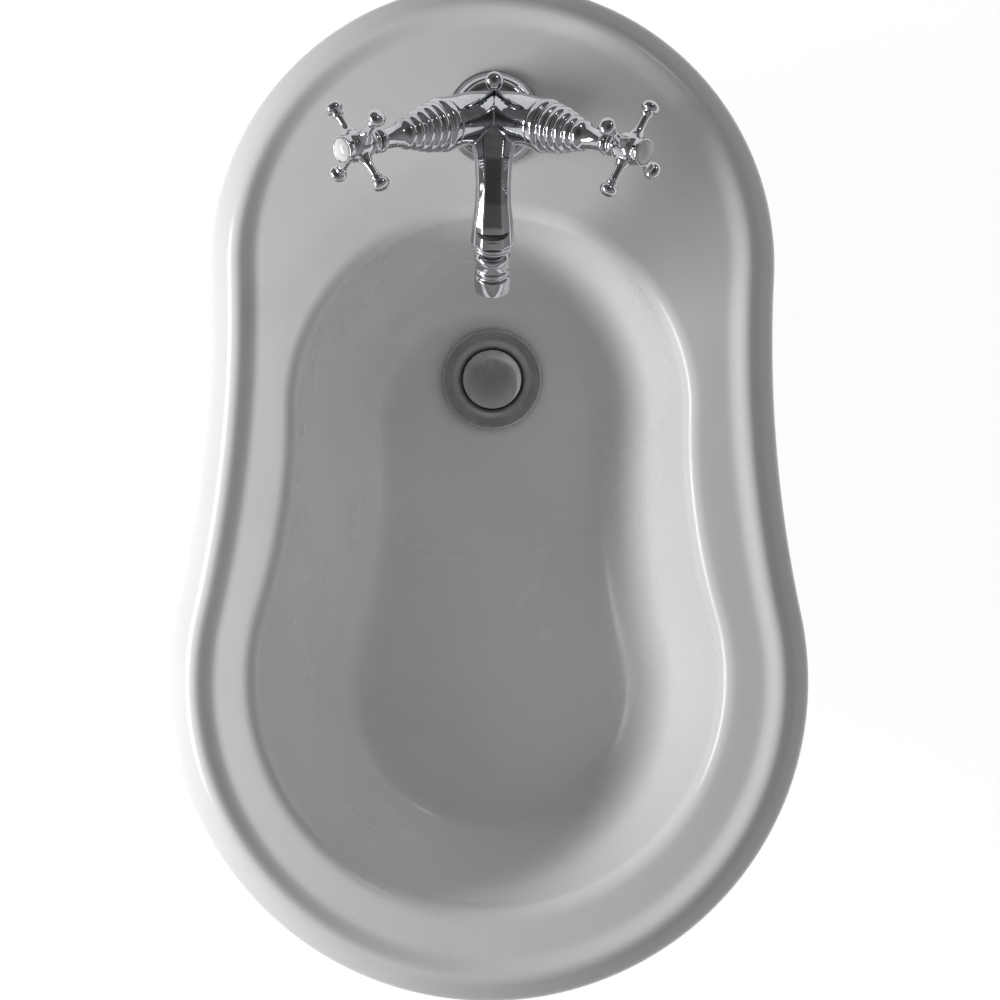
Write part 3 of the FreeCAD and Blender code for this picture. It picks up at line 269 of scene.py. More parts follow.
def cast(bm: BMesh, voxel: float, passes: int) -> BMesh:
    """Melt overlapping shells into one casting with soft inner corners.

    Args:
        bm: Closed shells in millimetres, which are freed.
        voxel: The grain of the melt, in millimetres.
        passes: How often the skin is smoothed.

    Returns:
        One closed skin in millimetres.
    """
    holder = show("melt", bm)
    melt = holder.modifiers.new("melt", "REMESH")
    melt.mode = "VOXEL"
    melt.voxel_size = voxel
    skin = bmesh.new()
    skin.from_object(holder, bpy.context.evaluated_depsgraph_get())
    discard(holder)
    for _ in range(passes):
        bmesh.ops.smooth_vert(
            skin, verts=skin.verts, factor=SMOOTH_SHARE, use_axis_x=True, use_axis_y=True, use_axis_z=True
        )
    tidy(skin)
    return skin


def shade(mesh: Mesh, sharp: float = SHARP_ANGLE) -> None:
    """Shade a mesh smooth, and keep its edges that turn further than an angle."""
    mesh.polygons.foreach_set("use_smooth", [True] * len(mesh.polygons))
    mesh.set_sharp_from_angle(angle=sharp)


# Shader node groups, each an effect that several finishes share


class Tree:
    """A node tree that is being wired."""

    def __init__(self, tree: NodeTree) -> None:
        """Start with an empty tree."""
        self.tree = tree
        self.tree.nodes.clear()

    def feed(self, socket: NodeSocket, value: object) -> None:
        """Link an input, or set its value.

        Args:
            socket: The input.
            value: The output that feeds it, or its value.
        """
        if isinstance(value, NodeSocket):
            self.tree.links.new(value, socket)
        else:
            socket.default_value = value

    def add(self, kind: str, inputs: Optional[dict] = None, **settings: object) -> Node:
        """Add a node.

        Args:
            kind: The node's type.
            inputs: Values or output sockets, by the input's name or number.
            settings: Properties of the node.

        Returns:
            The new node.
        """
        node = self.tree.nodes.new(kind)
        for name, value in settings.items():
            setattr(node, name, value)
        for name, value in (inputs or {}).items():
            self.feed(node.inputs[name], value)
        return node

    def spot(self) -> NodeSocket:
        """Give the place on the piece."""
        return self.add("ShaderNodeTexCoord").outputs["Object"]

    def noise(
        self, scale: object, detail: float, place: Optional[NodeSocket] = None, **more: float
    ) -> NodeSocket:
        """Spread a noise over the piece.

        Args:
            scale: How fine it is.
            detail: How many finer layers it has.
            place: Where it is read, if not at the place on the piece.
            more: Other inputs of the noise, by name.

        Returns:
            The noise's value.
        """
        where = self.spot() if place is None else place
        inputs = {"Vector": where, "Scale": scale, "Detail": detail, **more}
        return self.add("ShaderNodeTexNoise", inputs).outputs["Fac"]

    def work(self, operation: str, *values: object, clamp: bool = False) -> NodeSocket:
        """Work out a sum of sockets and numbers."""
        inputs = dict(enumerate(values))
        return self.add("ShaderNodeMath", inputs, operation=operation, use_clamp=clamp).outputs[0]

    def stretch(
        self, value: NodeSocket, span: Span = UNIT, onto: Span = UNIT, soft: bool = False
    ) -> NodeSocket:
        """Stretch one span of values onto another.

        Args:
            value: The value.
            span: The two ends that it is read between, as numbers or sockets.
            onto: What the two ends become, as numbers or sockets.
            soft: Whether the ends are eased.

        Returns:
            The new value.
        """
        ends = dict(zip(("From Min", "From Max", "To Min", "To Max"), (*span, *onto)))
        kind = "SMOOTHSTEP" if soft else "LINEAR"
        node = self.add("ShaderNodeMapRange", {"Value": value, **ends}, interpolation_type=kind)
        return node.outputs["Result"]

    def mix(self, factor: object, first: object, second: object) -> NodeSocket:
        """Mix two colours.

        Args:
            factor: The share of the second colour.
            first: A socket, or four numbers.
            second: A socket, or four numbers.

        Returns:
            The mixed colour.
        """
        node = self.add("ShaderNodeMix", data_type="RGBA")
        sockets = [socket for socket in node.inputs if socket.enabled]
        for socket, value in zip(sockets, (factor, first, second)):
            self.feed(socket, value)
        return next(socket for socket in node.outputs if socket.enabled)


@dataclass(frozen=True)
class Effect:
    """A shader node group with named inputs and outputs, built once."""

    name: str
    inputs: Inputs
    outputs: Outputs

    def group(self) -> NodeTree:
        """Find the group, or build it.

        Returns:
            The shader node group.
        """
        found = bpy.data.node_groups.get(self.name)
        if found:
            return found
        group = bpy.data.node_groups.new(self.name, "ShaderNodeTree")
        tree = Tree(group)
        for label, value in self.inputs:
            socket = group.interface.new_socket(label, in_out="INPUT", socket_type="NodeSocketFloat")
            socket.default_value = value
        for label, kind in self.outputs:
            group.interface.new_socket(label, in_out="OUTPUT", socket_type=kind)
        entry = tree.add("NodeGroupInput")
        results = self.wire(tree, entry.outputs)
        tree.add("NodeGroupOutput", results)
        return group

    def wire(self, tree: Tree, given: NodeOutputs) -> dict:
        """Wire the effect; each kind of effect has its own.

        Args:
            tree: The group that is being wired.
            given: The group's inputs.

        Returns:
            The sockets that feed the group's outputs, by name.
        """
        raise NotImplementedError

    def place(self, tree: Tree, **values: float) -> Node:
        """Place the effect in a material, with values for its inputs."""
        return tree.add("ShaderNodeGroup", values, node_tree=self.group())


@dataclass(frozen=True)
class Smudge(Effect):
    """Broad, uneven film left by wiping, as a roughness and as a mask."""

    name: str = "wiping_film"
    inputs: Inputs = (("Scale", 30.0), ("Clean", 0.05), ("Hazy", 0.15))
    outputs: Outputs = (("Roughness", "NodeSocketFloat"), ("Mask", "NodeSocketFloat"))
    film_span: Span = (0.38, 0.72)
    speck_ratio: float = 14.0
    speck_span: Span = (0.58, 0.78)
    speck_share: float = 0.35

    def wire(self, tree: Tree, given: NodeOutputs) -> dict:
        """Mix a broad noise with fine specks.

        Args:
            tree: The group that is being wired.
            given: The group's inputs.

        Returns:
            The roughness and the mask.
        """
        broad = tree.noise(given["Scale"], 5.0, Roughness=0.62, Distortion=0.6)
        fine = tree.noise(tree.work("MULTIPLY", given["Scale"], self.speck_ratio), 2.0)
        film = tree.stretch(broad, self.film_span, soft=True)
        specks = tree.stretch(fine, self.speck_span, soft=True)
        share = tree.work("MULTIPLY_ADD", specks, self.speck_share, film, clamp=True)
        return {"Roughness": tree.stretch(share, onto=(given["Clean"], given["Hazy"])), "Mask": share}


@dataclass(frozen=True)
class Ripple(Effect):
    """Fine unevenness of a skin, as a normal."""

    name: str = "uneven_skin"
    inputs: Inputs = (("Scale", 60.0), ("Depth", 0.0002))
    outputs: Outputs = (("Normal", "NodeSocketVector"),)

    def wire(self, tree: Tree, given: NodeOutputs) -> dict:
        """Raise a soft noise into a bump."""
        inputs = {"Strength": 1.0, "Distance": given["Depth"], "Height": tree.noise(given["Scale"], 3.0)}
        return {"Normal": tree.add("ShaderNodeBump", inputs).outputs["Normal"]}


@dataclass(frozen=True)
class EdgeWearAndGrooveShade(Effect):
    """Where a surface turns sharply outwards, as a mask of worn edges, and inwards, as a mask of painted shade in
    grooves.
    """

    name: str = "edge_wear_and_groove_shade"
    inputs: Inputs = (("Start", 0.52), ("Full", 0.60))
    outputs: Outputs = (("Ridge", "NodeSocketFloat"), ("GrooveShade", "NodeSocketFloat"))
    break_scale: float = 220.0
    break_span: Span = (0.3, 0.65)

    def wire(self, tree: Tree, given: NodeOutputs) -> dict:
        """Read how sharp the surface is, broken up by a noise.

        Args:
            tree: The group that is being wired.
            given: The group's inputs.

        Returns:
            The mask of worn ridges, and the mask of painted shade in grooves.
        """
        ridge = tree.add("ShaderNodeNewGeometry").outputs["Pointiness"]
        # Inward turns become the mask of painted shade that darkens grooves and creases
        groove_shade = tree.work("SUBTRACT", 1.0, ridge)
        broken = tree.stretch(tree.noise(self.break_scale, 4.0), self.break_span, soft=True)
        ends = (given["Start"], given["Full"])
        sides = {"Ridge": ridge, "GrooveShade": groove_shade}
        return {name: tree.work("MULTIPLY", tree.stretch(side, ends), broken) for name, side in sides.items()}


SMUDGE = Smudge()
RIPPLE = Ripple()
EDGE_WEAR_AND_GROOVE_SHADE = EdgeWearAndGrooveShade()


@dataclass(frozen=True)
class Finish:
    """A surface: its name, the record's slot, its colours and how it shines."""

    name: str
    slot: str
    colour: Colour
    # shade: the darker tone under the wiping film, and also the painted shade in grooves
    shade: Colour
    clean: float
    hazy: float
    metallic: float = 0.0
    ripple_scale: float = 60.0
    ripple_depth: float = 0.0002
    film_scale: float = 30.0
    film_share: float = 0.35
    # Where the sharpness masks start and are full: worn edges for roughness, painted shade in grooves for colour
    wear_and_shade_start: float = 0.53
    wear_and_shade_full: float = 0.62
    index: float = 1.5
    coat: float = 0.0

    def material(self) -> Material:
        """Find the material, or build it.

        Returns:
            The material, with its colour, roughness and normal from nodes.
        """
        found = bpy.data.materials.get(self.name)
        if found:
            return found
        material = bpy.data.materials.new(self.name)
        material.use_nodes = True
        tree = Tree(material.node_tree)
        film = SMUDGE.place(tree, Scale=self.film_scale, Clean=self.clean, Hazy=self.hazy).outputs
        skin = RIPPLE.place(tree, Scale=self.ripple_scale, Depth=self.ripple_depth).outputs
        wear_and_shade = EDGE_WEAR_AND_GROOVE_SHADE.place(tree, Start=self.wear_and_shade_start, Full=self.wear_and_shade_full).outputs
        shader = tree.add(
            "ShaderNodeBsdfPrincipled",
            {
                "Base Color": self.paint(tree, film, wear_and_shade),
                "Roughness": self.sheen(tree, film, wear_and_shade),
                "Normal": skin["Normal"],
                "Metallic": self.metal(tree, film),
                "IOR": self.index,
                "Coat Weight": self.coat,
                "Coat Roughness": self.clean,
            },
        )
        tree.add("ShaderNodeOutputMaterial", {"Surface": shader.outputs["BSDF"]})
        return material

    def paint(self, tree: Tree, film: NodeOutputs, wear_and_shade: NodeOutputs) -> NodeSocket:
        """Mix the colour towards its shade under the film, and paint shade into grooves by darkening them to the
        shade colour.
        """
        filmed = [a + (b - a) * self.film_share for a, b in zip(self.colour, self.shade)]
        wiped = tree.mix(film["Mask"], (*self.colour, 1), (*filmed, 1))
        # Painted shade: grooves and creases take the shade colour
        return tree.mix(wear_and_shade["GrooveShade"], wiped, (*self.shade, 1))

    def sheen(self, tree: Tree, film: NodeOutputs, wear_and_shade: NodeOutputs) -> NodeSocket:
        """Give the roughness, a little higher where edges are worn."""
        return tree.work("MULTIPLY_ADD", wear_and_shade["Ridge"], self.hazy - self.clean, film["Roughness"], clamp=True)

    def metal(self, tree: Tree, film: NodeOutputs) -> object:
        """Give how metallic the surface is, the same all over."""
        return self.metallic

    def dress(self, piece: Object) -> None:
        """Give a piece this finish, and nothing else."""
        piece.data.materials.clear()
        piece.data.materials.append(self.material())


@dataclass(frozen=True)
class Glaze(Finish):
    """Fired glaze, left bare and rough on the ring that stood in the kiln."""

    bare: Colour = (0.62, 0.57, 0.50)
    bare_height: float = 0.0022
    bare_rough: float = 0.6
    edge_scale: float = 90.0
    edge_drop: float = -0.002

    def paint(self, tree: Tree, film: NodeOutputs, wear_and_shade: NodeOutputs) -> NodeSocket:
        """Mix the glaze's colour, then bare clay at the foot."""
        return tree.mix(self.foot(tree), super().paint(tree, film, wear_and_shade), (*self.bare, 1))

    def sheen(self, tree: Tree, film: NodeOutputs, wear_and_shade: NodeOutputs) -> NodeSocket:
        """Give the glaze's roughness, and a dull one at the foot."""
        glossy = super().sheen(tree, film, wear_and_shade)
        return tree.work("MULTIPLY_ADD", self.foot(tree), self.bare_rough, glossy, clamp=True)

    def foot(self, tree: Tree) -> NodeSocket:
        """Mask the bare ring, with an uneven edge.

        Args:
            tree: The material's tree.

        Returns:
            The mask.
        """
        height = tree.add("ShaderNodeSeparateXYZ", {"Vector": tree.spot()}).outputs["Z"]
        edge = tree.work("MULTIPLY_ADD", tree.noise(self.edge_scale, 3.0), self.edge_drop, height)
        return tree.stretch(edge, (self.bare_height, 0.0), soft=True)


@dataclass(frozen=True)
class Drawn(Finish):
    """Metal with the fine lines of drawing or turning across its Z axis."""

    line_scale: float = 900.0
    line_squash: Place = (0.04, 0.04, 1.0)
    line_depth: float = 0.22

    def sheen(self, tree: Tree, film: NodeOutputs, wear_and_shade: NodeOutputs) -> NodeSocket:
        """Add the lines to the roughness.

        Args:
            tree: The material's tree.
            film: What the wiping film gives.
            wear_and_shade: What the worn edges and the painted groove shade give.

        Returns:
            The roughness.
        """
        smooth = super().sheen(tree, film, wear_and_shade)
        squashed = tree.add("ShaderNodeMapping", {"Vector": tree.spot(), "Scale": self.line_squash})
        lines = tree.noise(self.line_scale, 2.0, squashed.outputs[0])
        return tree.work("MULTIPLY_ADD", lines, self.line_depth, smooth, clamp=True)


@dataclass(frozen=True)
class Filmed(Finish):
    """Bright metal under the grey film that drying water leaves."""

    thick: float = 0.3
    thin: float = 0.56

    def metal(self, tree: Tree, film: NodeOutputs) -> NodeSocket:
        """Let the film hide part of the metal."""
        return tree.stretch(film["Mask"], onto=(self.thin, self.thick))


# Each finish's second colour is its film tone, and also the painted shade put into its grooves and creases
CHINA = Glaze(
    "fired_glaze", "glazed_china", (0.87, 0.862, 0.87), (0.76, 0.75, 0.758), 0.2, 0.31,
    ripple_scale=28.0, ripple_depth=0.0002, film_scale=9.0, index=1.45,
)
CHROME = Finish(
    "polished_chrome", "chrome", (0.53, 0.54, 0.56), (0.13, 0.13, 0.14), 0.035, 0.12,
    metallic=1.0, ripple_scale=90.0, ripple_depth=0.00004, film_scale=55.0,
)
FILMED_CHROME = Filmed(
    "watermarked_chrome", "chrome", (0.52, 0.52, 0.53), (0.34, 0.34, 0.35), 0.08, 0.18,
    metallic=1.0, ripple_scale=90.0, ripple_depth=0.00005, film_scale=70.0,
)
BRASS = Drawn(
    "turned_brass", "brass", (0.66, 0.50, 0.24), (0.26, 0.17, 0.07), 0.18, 0.34,
    metallic=1.0, film_scale=60.0,
)
STEEL = Drawn(
    "drawn_steel", "steel", (0.55, 0.55, 0.56), (0.22, 0.22, 0.22), 0.22, 0.38,
    metallic=1.0, film_scale=60.0,
)
RUBBER = Finish(
    "black_rubber", "rubber", (0.035, 0.035, 0.036), (0.012, 0.012, 0.012), 0.55, 0.75,
    ripple_scale=700.0, ripple_depth=0.00012,
)
DISC = Finish(
    "lapped_disc", "disc_ceramic", (0.78, 0.75, 0.69), (0.60, 0.56, 0.50), 0.16, 0.28,
    ripple_scale=500.0, ripple_depth=0.00003,
)
BUTTON = Finish(
    "button_porcelain", "white_porcelain", (0.84, 0.84, 0.835), (0.68, 0.67, 0.65), 0.05, 0.10,
    ripple_scale=160.0, ripple_depth=0.00006, film_scale=80.0, coat=0.4,
)
PLASTIC = Finish(
    "moulded_plastic", "white_plastic", (0.74, 0.74, 0.72), (0.58, 0.57, 0.54), 0.34, 0.5,
    ripple_scale=420.0, ripple_depth=0.00006,
)
FINISHES = (CHINA, CHROME, BRASS, STEEL, RUBBER, DISC, BUTTON, PLASTIC)


def make_piece(
    name: str, bm: BMesh, finish: Finish, body: str, stands_for: Sequence[str], sharp: float = SHARP_ANGLE
) -> Object:
    """Turn a mesh into a finished piece that rides on a body.

    Args:
        name: The piece's name.
        bm: The mesh in millimetres, in its place, which is freed.
        finish: What its surface is.
        body: The body that it moves with.
        stands_for: The solids that it is shown in place of.
        sharp: The angle past which an edge stays sharp.

    Returns:
        The new object.
    """
    bm.transform(Matrix.Scale(MM, 4))
    piece = show(name, bm)
    shade(piece.data, sharp)
    finish.dress(piece)
    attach(piece, body)
    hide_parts(*stands_for)
    log.info("%s: %d faces, on %s", name, len(piece.data.polygons), body)
    return piece


def carve(piece: Object, finish: Finish, cutters: Iterable[BMesh]) -> None:
    """Cut shapes out of a finished piece.

    Args:
        piece: The piece that loses the shapes.
        finish: What the cut surface is.
        cutters: Closed meshes in millimetres, which are freed.
    """
    holders = []
    for cutter in cutters:
        cutter.transform(Matrix.Scale(MM, 4))
        holders.append(show("cutter", cutter))
        bite = piece.modifiers.new("bite", "BOOLEAN")
        bite.operation = "DIFFERENCE"
        bite.solver = "EXACT"
        bite.object = holders[-1]
    depsgraph = bpy.context.evaluated_depsgraph_get()
    whole = piece.data
    piece.data = bpy.data.meshes.new_from_object(piece.evaluated_get(depsgraph))
    piece.modifiers.clear()
    bpy.data.meshes.remove(whole)
    for holder in holders:
        discard(holder)
    shade(piece.data)
    finish.dress(piece)


# The ceramic


class Station(NamedTuple):
    """A ring of the ceramic's skin, and the radius that eases its corner."""

    points: Sequence[Vector]
    ease: float = 0.0


@dataclass(frozen=True)
class Outline:
    """A plan of two round lobes on the Y axis, joined by hollow waists that touch both."""

    front_radius: float
    front_y: float
    rear_radius: float
    rear_y: float
    waist_radius: float

    def inset(self, step: float) -> "Outline":
        """Give the outline moved in by a step all round."""
        front, rear, waist = self.front_radius - step, self.rear_radius - step, self.waist_radius + step
        return Outline(front, self.front_y, rear, self.rear_y, waist)

    def towards(self, other: "Outline", share: float) -> "Outline":
        """Give the outline at a share of the way to another one."""
        mine, theirs = vars(self), vars(other)
        return Outline(**{key: mine[key] + (theirs[key] - mine[key]) * share for key in mine})

    def ring(self, height: float) -> list[Vector]:
        """Walk round the outline.

        Args:
            height: The height that the points get.

        Returns:
            Points of the front lobe, the right waist, the rear lobe and the left waist.
        """
        spacing = self.rear_y - self.front_y
        front = self.front_radius + self.waist_radius
        rear = self.rear_radius + self.waist_radius
        up = (spacing**2 + front**2 - rear**2) / (2 * spacing)
        waist_x, waist_y = math.sqrt(front**2 - up**2), self.front_y + up
        low = math.atan2(up, waist_x)
        high = math.atan2(waist_y - self.rear_y, waist_x)
        # Centre, radius, first and last angle, and count of points of each arc
        arcs = (
            (0.0, self.front_y, self.front_radius, math.pi - low, math.tau + low, 120),
            (waist_x, waist_y, self.waist_radius, math.pi + low, math.pi + high, 40),
            (0.0, self.rear_y, self.rear_radius, high, math.pi - high, 96),
            (-waist_x, waist_y, self.waist_radius, -high, -low, 40),
        )
        points = []
        for x, y, radius, first, last, count in arcs:
            for step in range(count):
                angle = first + (last - first) * step / count
                points.append(Vector((x + radius * math.cos(angle), y + radius * math.sin(angle), height)))
        return points

    def station(self, height: float, ease: float = 0.0) -> Station:
        """Give the outline as a ring of the ceramic's skin."""
        return Station(self.ring(height), ease)


def curve_through(values: Sequence[float], share: float) -> float:
    """Read a smooth curve that passes through evenly numbered values.

    Args:
        values: The values at 0, 1, 2 and so on.
        share: Where to read, from 0 to the last number.

    Returns:
        The value there.
    """
    last = len(values) - 1
    index = min(int(share), last - 1)
    t = share - index
    a, b = values[index], values[index + 1]
    before = values[index - 1] if index else 2 * a - b
    after = values[index + 2] if index + 2 <= last else 2 * b - a
    start, end = (b - before) / 2, (after - a) / 2
    return (
        (2 * t**3 - 3 * t**2 + 1) * a + (t**3 - 2 * t**2 + t) * start
        + (3 * t**2 - 2 * t**3) * b + (t**3 - t**2) * end
    )


def read_rows(rows: Sequence[Sequence[float]], share: float) -> list[float]:
    """Read the smooth curve through each column of a table."""
    return [curve_through(column, share) for column in zip(*rows)]


@dataclass
class Ceramic:
    """One casting: rolled rim, deck, bowl and a hollow pedestal, in millimetres."""

    plan: Outline = Outline(182.3, -108.05, 160.7, 129.65, 736)
    rim_height: float = 395.5
    rim_depth: float = 29.5
    rim_under_roll: float = 8.5
    # Inset from the outer face, and height above the deck, from the deck's edge out over the crest
    rim_curve: Rows = (
        (31, 0), (28, 0), (25.4, 0.25), (23, 1.1), (20.6, 2.35), (18.2, 3.6), (15.7, 4.2),
        (12.9, 3.6), (9.6, 1.6), (6, -1.7), (3, -5.2), (1.1, -8.6), (0, -12.5),
    )
    rim_steps: int = 3
    deck_drop: float = 7.5
    deck_thickness: float = 14.0
    deck_shares: tuple[float, ...] = (0.6, 0.8)
    shoulder_inset: float = 14.0
    skin: float = 9.0
    opening: Outline = Outline(132, -105.7, 110.5, 47.5, 361)
    floor: Outline = Outline(78, -122, 65, 40, 420)
    floor_shares: tuple[float, ...] = (0, 0.12, 0.28, 0.46, 0.64, 0.82)
    under_shares: tuple[float, ...] = (0.6, 0.3, 0)
    bowl_depth: float = 126.0
    bowl_floor: float = 12.0
    bowl_wall: float = 6.0
    bowl_edge: float = 8.5
    # Share of the way in from the opening to the floor, and share of the depth
    bowl_curve: Rows = (
        (0, 0), (0.24, 0.40), (0.47, 0.705), (0.70, 0.895), (0.92, 0.975), (1.08, 0.996), (1.2, 1)
    )
    bowl_steps: int = 24
    levels: tuple[tuple[float, Outline], ...] = (
        (34, Outline(112, -54, 120, 146, 420)),
        (95, Outline(88, -57, 106, 150, 420)),
        (200, Outline(108, -84, 116, 143, 480)),
        (305, Outline(150, -104, 138, 131, 620)),
    )
    level_steps: int = 8
    plinth_step: float = 5.0
    plinth_ease: float = 4.0
    foot_ease: float = 1.5
    arch_width: float = 110.0
    arch_height: float = 185.0
    arch_sink: float = -10.0
    arch_steps: int = 48
    fixing_radius: float = 4.5
    fixing_y: float = 60.0
    fixing_height: float = 17.0
    tap_y: float = 212.0
    tap_hole: float = 17.5
    tap_cut: float = 20.0
    drain_y: float = 68.0
    drain_hole: float = 23.0

    @property
    def deck(self) -> float:
        """Give the deck's height."""
        return self.rim_height - self.deck_drop

    @property
    def bowl_bottom(self) -> float:
        """Give the height of the bowl's floor."""
        return self.deck - self.bowl_depth

    def drain_rings(self, height: float, edge: Outline, shares: Sequence[float]) -> list[Station]:
        """Fan out from the drain hole to an outline of the bowl's floor.

        Args:
            height: The height of the rings.
            edge: The outline that they reach out to.
            shares: How far out each ring is, from 0 at the hole to 1 at the outline.

        Returns:
            The rings, in the order of the shares.
        """
        centre = Vector((0, self.drain_y, height))
        far = edge.ring(height)
        near = [centre + (point - centre).normalized() * self.drain_hole for point in far]
        return [Station([a.lerp(b, share) for a, b in zip(near, far)]) for share in shares]

    def bowl_rings(self, wall: float = 0.0, floor: float = 0.0, drop: float = 0.0) -> list[Station]:
        """Climb the bowl from its floor to its edge.

        Args:
            wall: How far outside the bowl's face the rings are.
            floor: How far below the bowl's floor the lowest ring is.
            drop: How much lower the top ring is than the deck.

        Returns:
            The rings from the floor up.
        """
        last = len(self.bowl_curve) - 1
        rings = []
        for step in range(self.bowl_steps, -1, -1):
            inward, down = read_rows(self.bowl_curve, last * step / self.bowl_steps)
            outline = self.opening.towards(self.floor, inward).inset(-wall)
            height = self.deck - (self.bowl_depth + floor) * down - drop * (1 - down)
            rings.append(outline.station(height, self.bowl_edge if step == wall == 0 else 0.0))
        return rings

    def rim_rings(self) -> list[Station]:
        """Cross the deck, climb the inner slope and roll over the rim.

        Returns:
            The rings from the bowl's edge out to the rim's upright face.
        """
        deck_edge = self.plan.inset(self.rim_curve[0][0])
        rings = [self.opening.towards(deck_edge, share).station(self.deck) for share in self.deck_shares]
        for step in range((len(self.rim_curve) - 1) * self.rim_steps + 1):
            inset, height = read_rows(self.rim_curve, step / self.rim_steps)
            rings.append(self.plan.inset(inset).station(self.deck + height))
        return rings

    def pedestal_rings(self, inset: float, top: float) -> list[Station]:
        """Go down the pedestal from the shoulder to the foot.

        Args:
            inset: How far inside the outer face the rings are.
            top: The shoulder's height.

        Returns:
            The rings from the top down.
        """
        levels = [*self.levels, (top, self.plan.inset(self.shoulder_inset))]
        rows = [[height, *vars(outline).values()] for height, outline in levels]
        rings = []
        for step in range((len(levels) - 1) * self.level_steps, -1, -1):
            height, *sizes = read_rows(rows, step / self.level_steps)
            rings.append(Outline(*sizes).inset(inset).station(height))
        return rings

    def stations(self) -> list[Station]:
        """Walk the whole skin: up the bowl, over the rim, down the pedestal and back up inside.

        Returns:
            The rings in order, from the top of the drain hole to its lower end.
        """
        under = self.rim_height - self.rim_depth
        foot_height, foot = self.levels[0]
        plinth = foot.inset(-self.plinth_step)
        hollow = foot.inset(self.skin)
        ceiling = self.deck - self.deck_thickness
        flat = self.opening.towards(self.floor, self.bowl_curve[-1][0])
        below = flat.inset(-self.bowl_wall)
        return [
            *self.drain_rings(self.bowl_bottom, flat, self.floor_shares),
            *self.bowl_rings(),
            *self.rim_rings(),
            self.plan.station(under, self.rim_under_roll),
            *self.pedestal_rings(0, under),
            plinth.station(foot_height, self.plinth_ease),
            plinth.station(foot_height / 2),
            plinth.station(0, self.foot_ease),
            hollow.station(0, self.foot_ease),
            *self.pedestal_rings(self.skin, ceiling)[::-1],
            *self.bowl_rings(self.bowl_wall, self.bowl_floor, self.deck_thickness)[::-1],
            *self.drain_rings(self.bowl_bottom - self.bowl_floor, below, self.under_shares),
        ]

    def skin_mesh(self) -> BMesh:
        """Draw the first ring, extrude it along the others, and ease the corners.

        Returns:
            The closed skin in millimetres.
        """
        bm = bmesh.new()
        start, *others = self.stations()
        verts, edges = start_ring(bm, start.points)
        first = verts
        eased: list[tuple[float, list[BMEdge]]] = []
        for station in others:
            verts, edges = extrude_ring(bm, verts, edges, station.points)
            if station.ease:
                eased.append((station.ease, edges))
        extrude_ring(bm, verts, edges, [vert.co.copy() for vert in first])
        for ease, ring in eased:
            bmesh.ops.bevel(
                bm, geom=ring, offset=ease, offset_type="OFFSET", segments=RING_STEPS, profile=ROUND,
                affect="EDGES", clamp_overlap=False, material=-1,
            )
        tidy(bm)
        return bm

    def cutters(self) -> list[BMesh]:
        """Make the shapes of the tap hole, the fixing holes and the rear arch.

        Returns:
            Closed meshes in millimetres.
        """
        deck_middle = Matrix.Translation((0, self.tap_y, self.deck - self.deck_thickness / 2))
        across = along((1, 0, 0), (0, self.fixing_y, self.fixing_height))
        reach = self.plan.front_radius
        return [
            peg(self.tap_hole, -self.tap_cut, self.tap_cut, Flats.SMALL, deck_middle),
            peg(self.fixing_radius, -reach, reach, Flats.HOLE, across),
            self.arch(),
        ]

    def arch(self) -> BMesh:
        """Extrude the rear arch from its outline.

        Returns:
            A closed mesh in millimetres.
        """
        half = self.arch_width / 2
        spring = self.arch_height - half
        foot = self.levels[0][1]
        angles = [math.pi * step / self.arch_steps for step in range(self.arch_steps + 1)]
        points = [(-half, self.arch_sink), (half, self.arch_sink)]
        points += [(half * math.cos(angle), spring + half * math.sin(angle)) for angle in angles]
        bm = bmesh.new()
        face = bm.faces.new([bm.verts.new((x, foot.rear_y, z)) for x, z in points])
        grown = bmesh.ops.extrude_face_region(bm, geom=[face])["geom"]
        moved = [item for item in grown if isinstance(item, BMVert)]
        bmesh.ops.translate(bm, verts=moved, vec=(0, foot.rear_radius * 2, 0))
        tidy(bm)
        return bm

    def build(self) -> None:
        """Make the ceramic and cut its holes."""
        solids = [name for name in frame["nodes"] if name.startswith("ceramic_")]
        piece = make_piece("ceramic_casting", self.skin_mesh(), CHINA, CAD_BODY, solids)
        carve(piece, CHINA, self.cutters())


# The tap and the waste


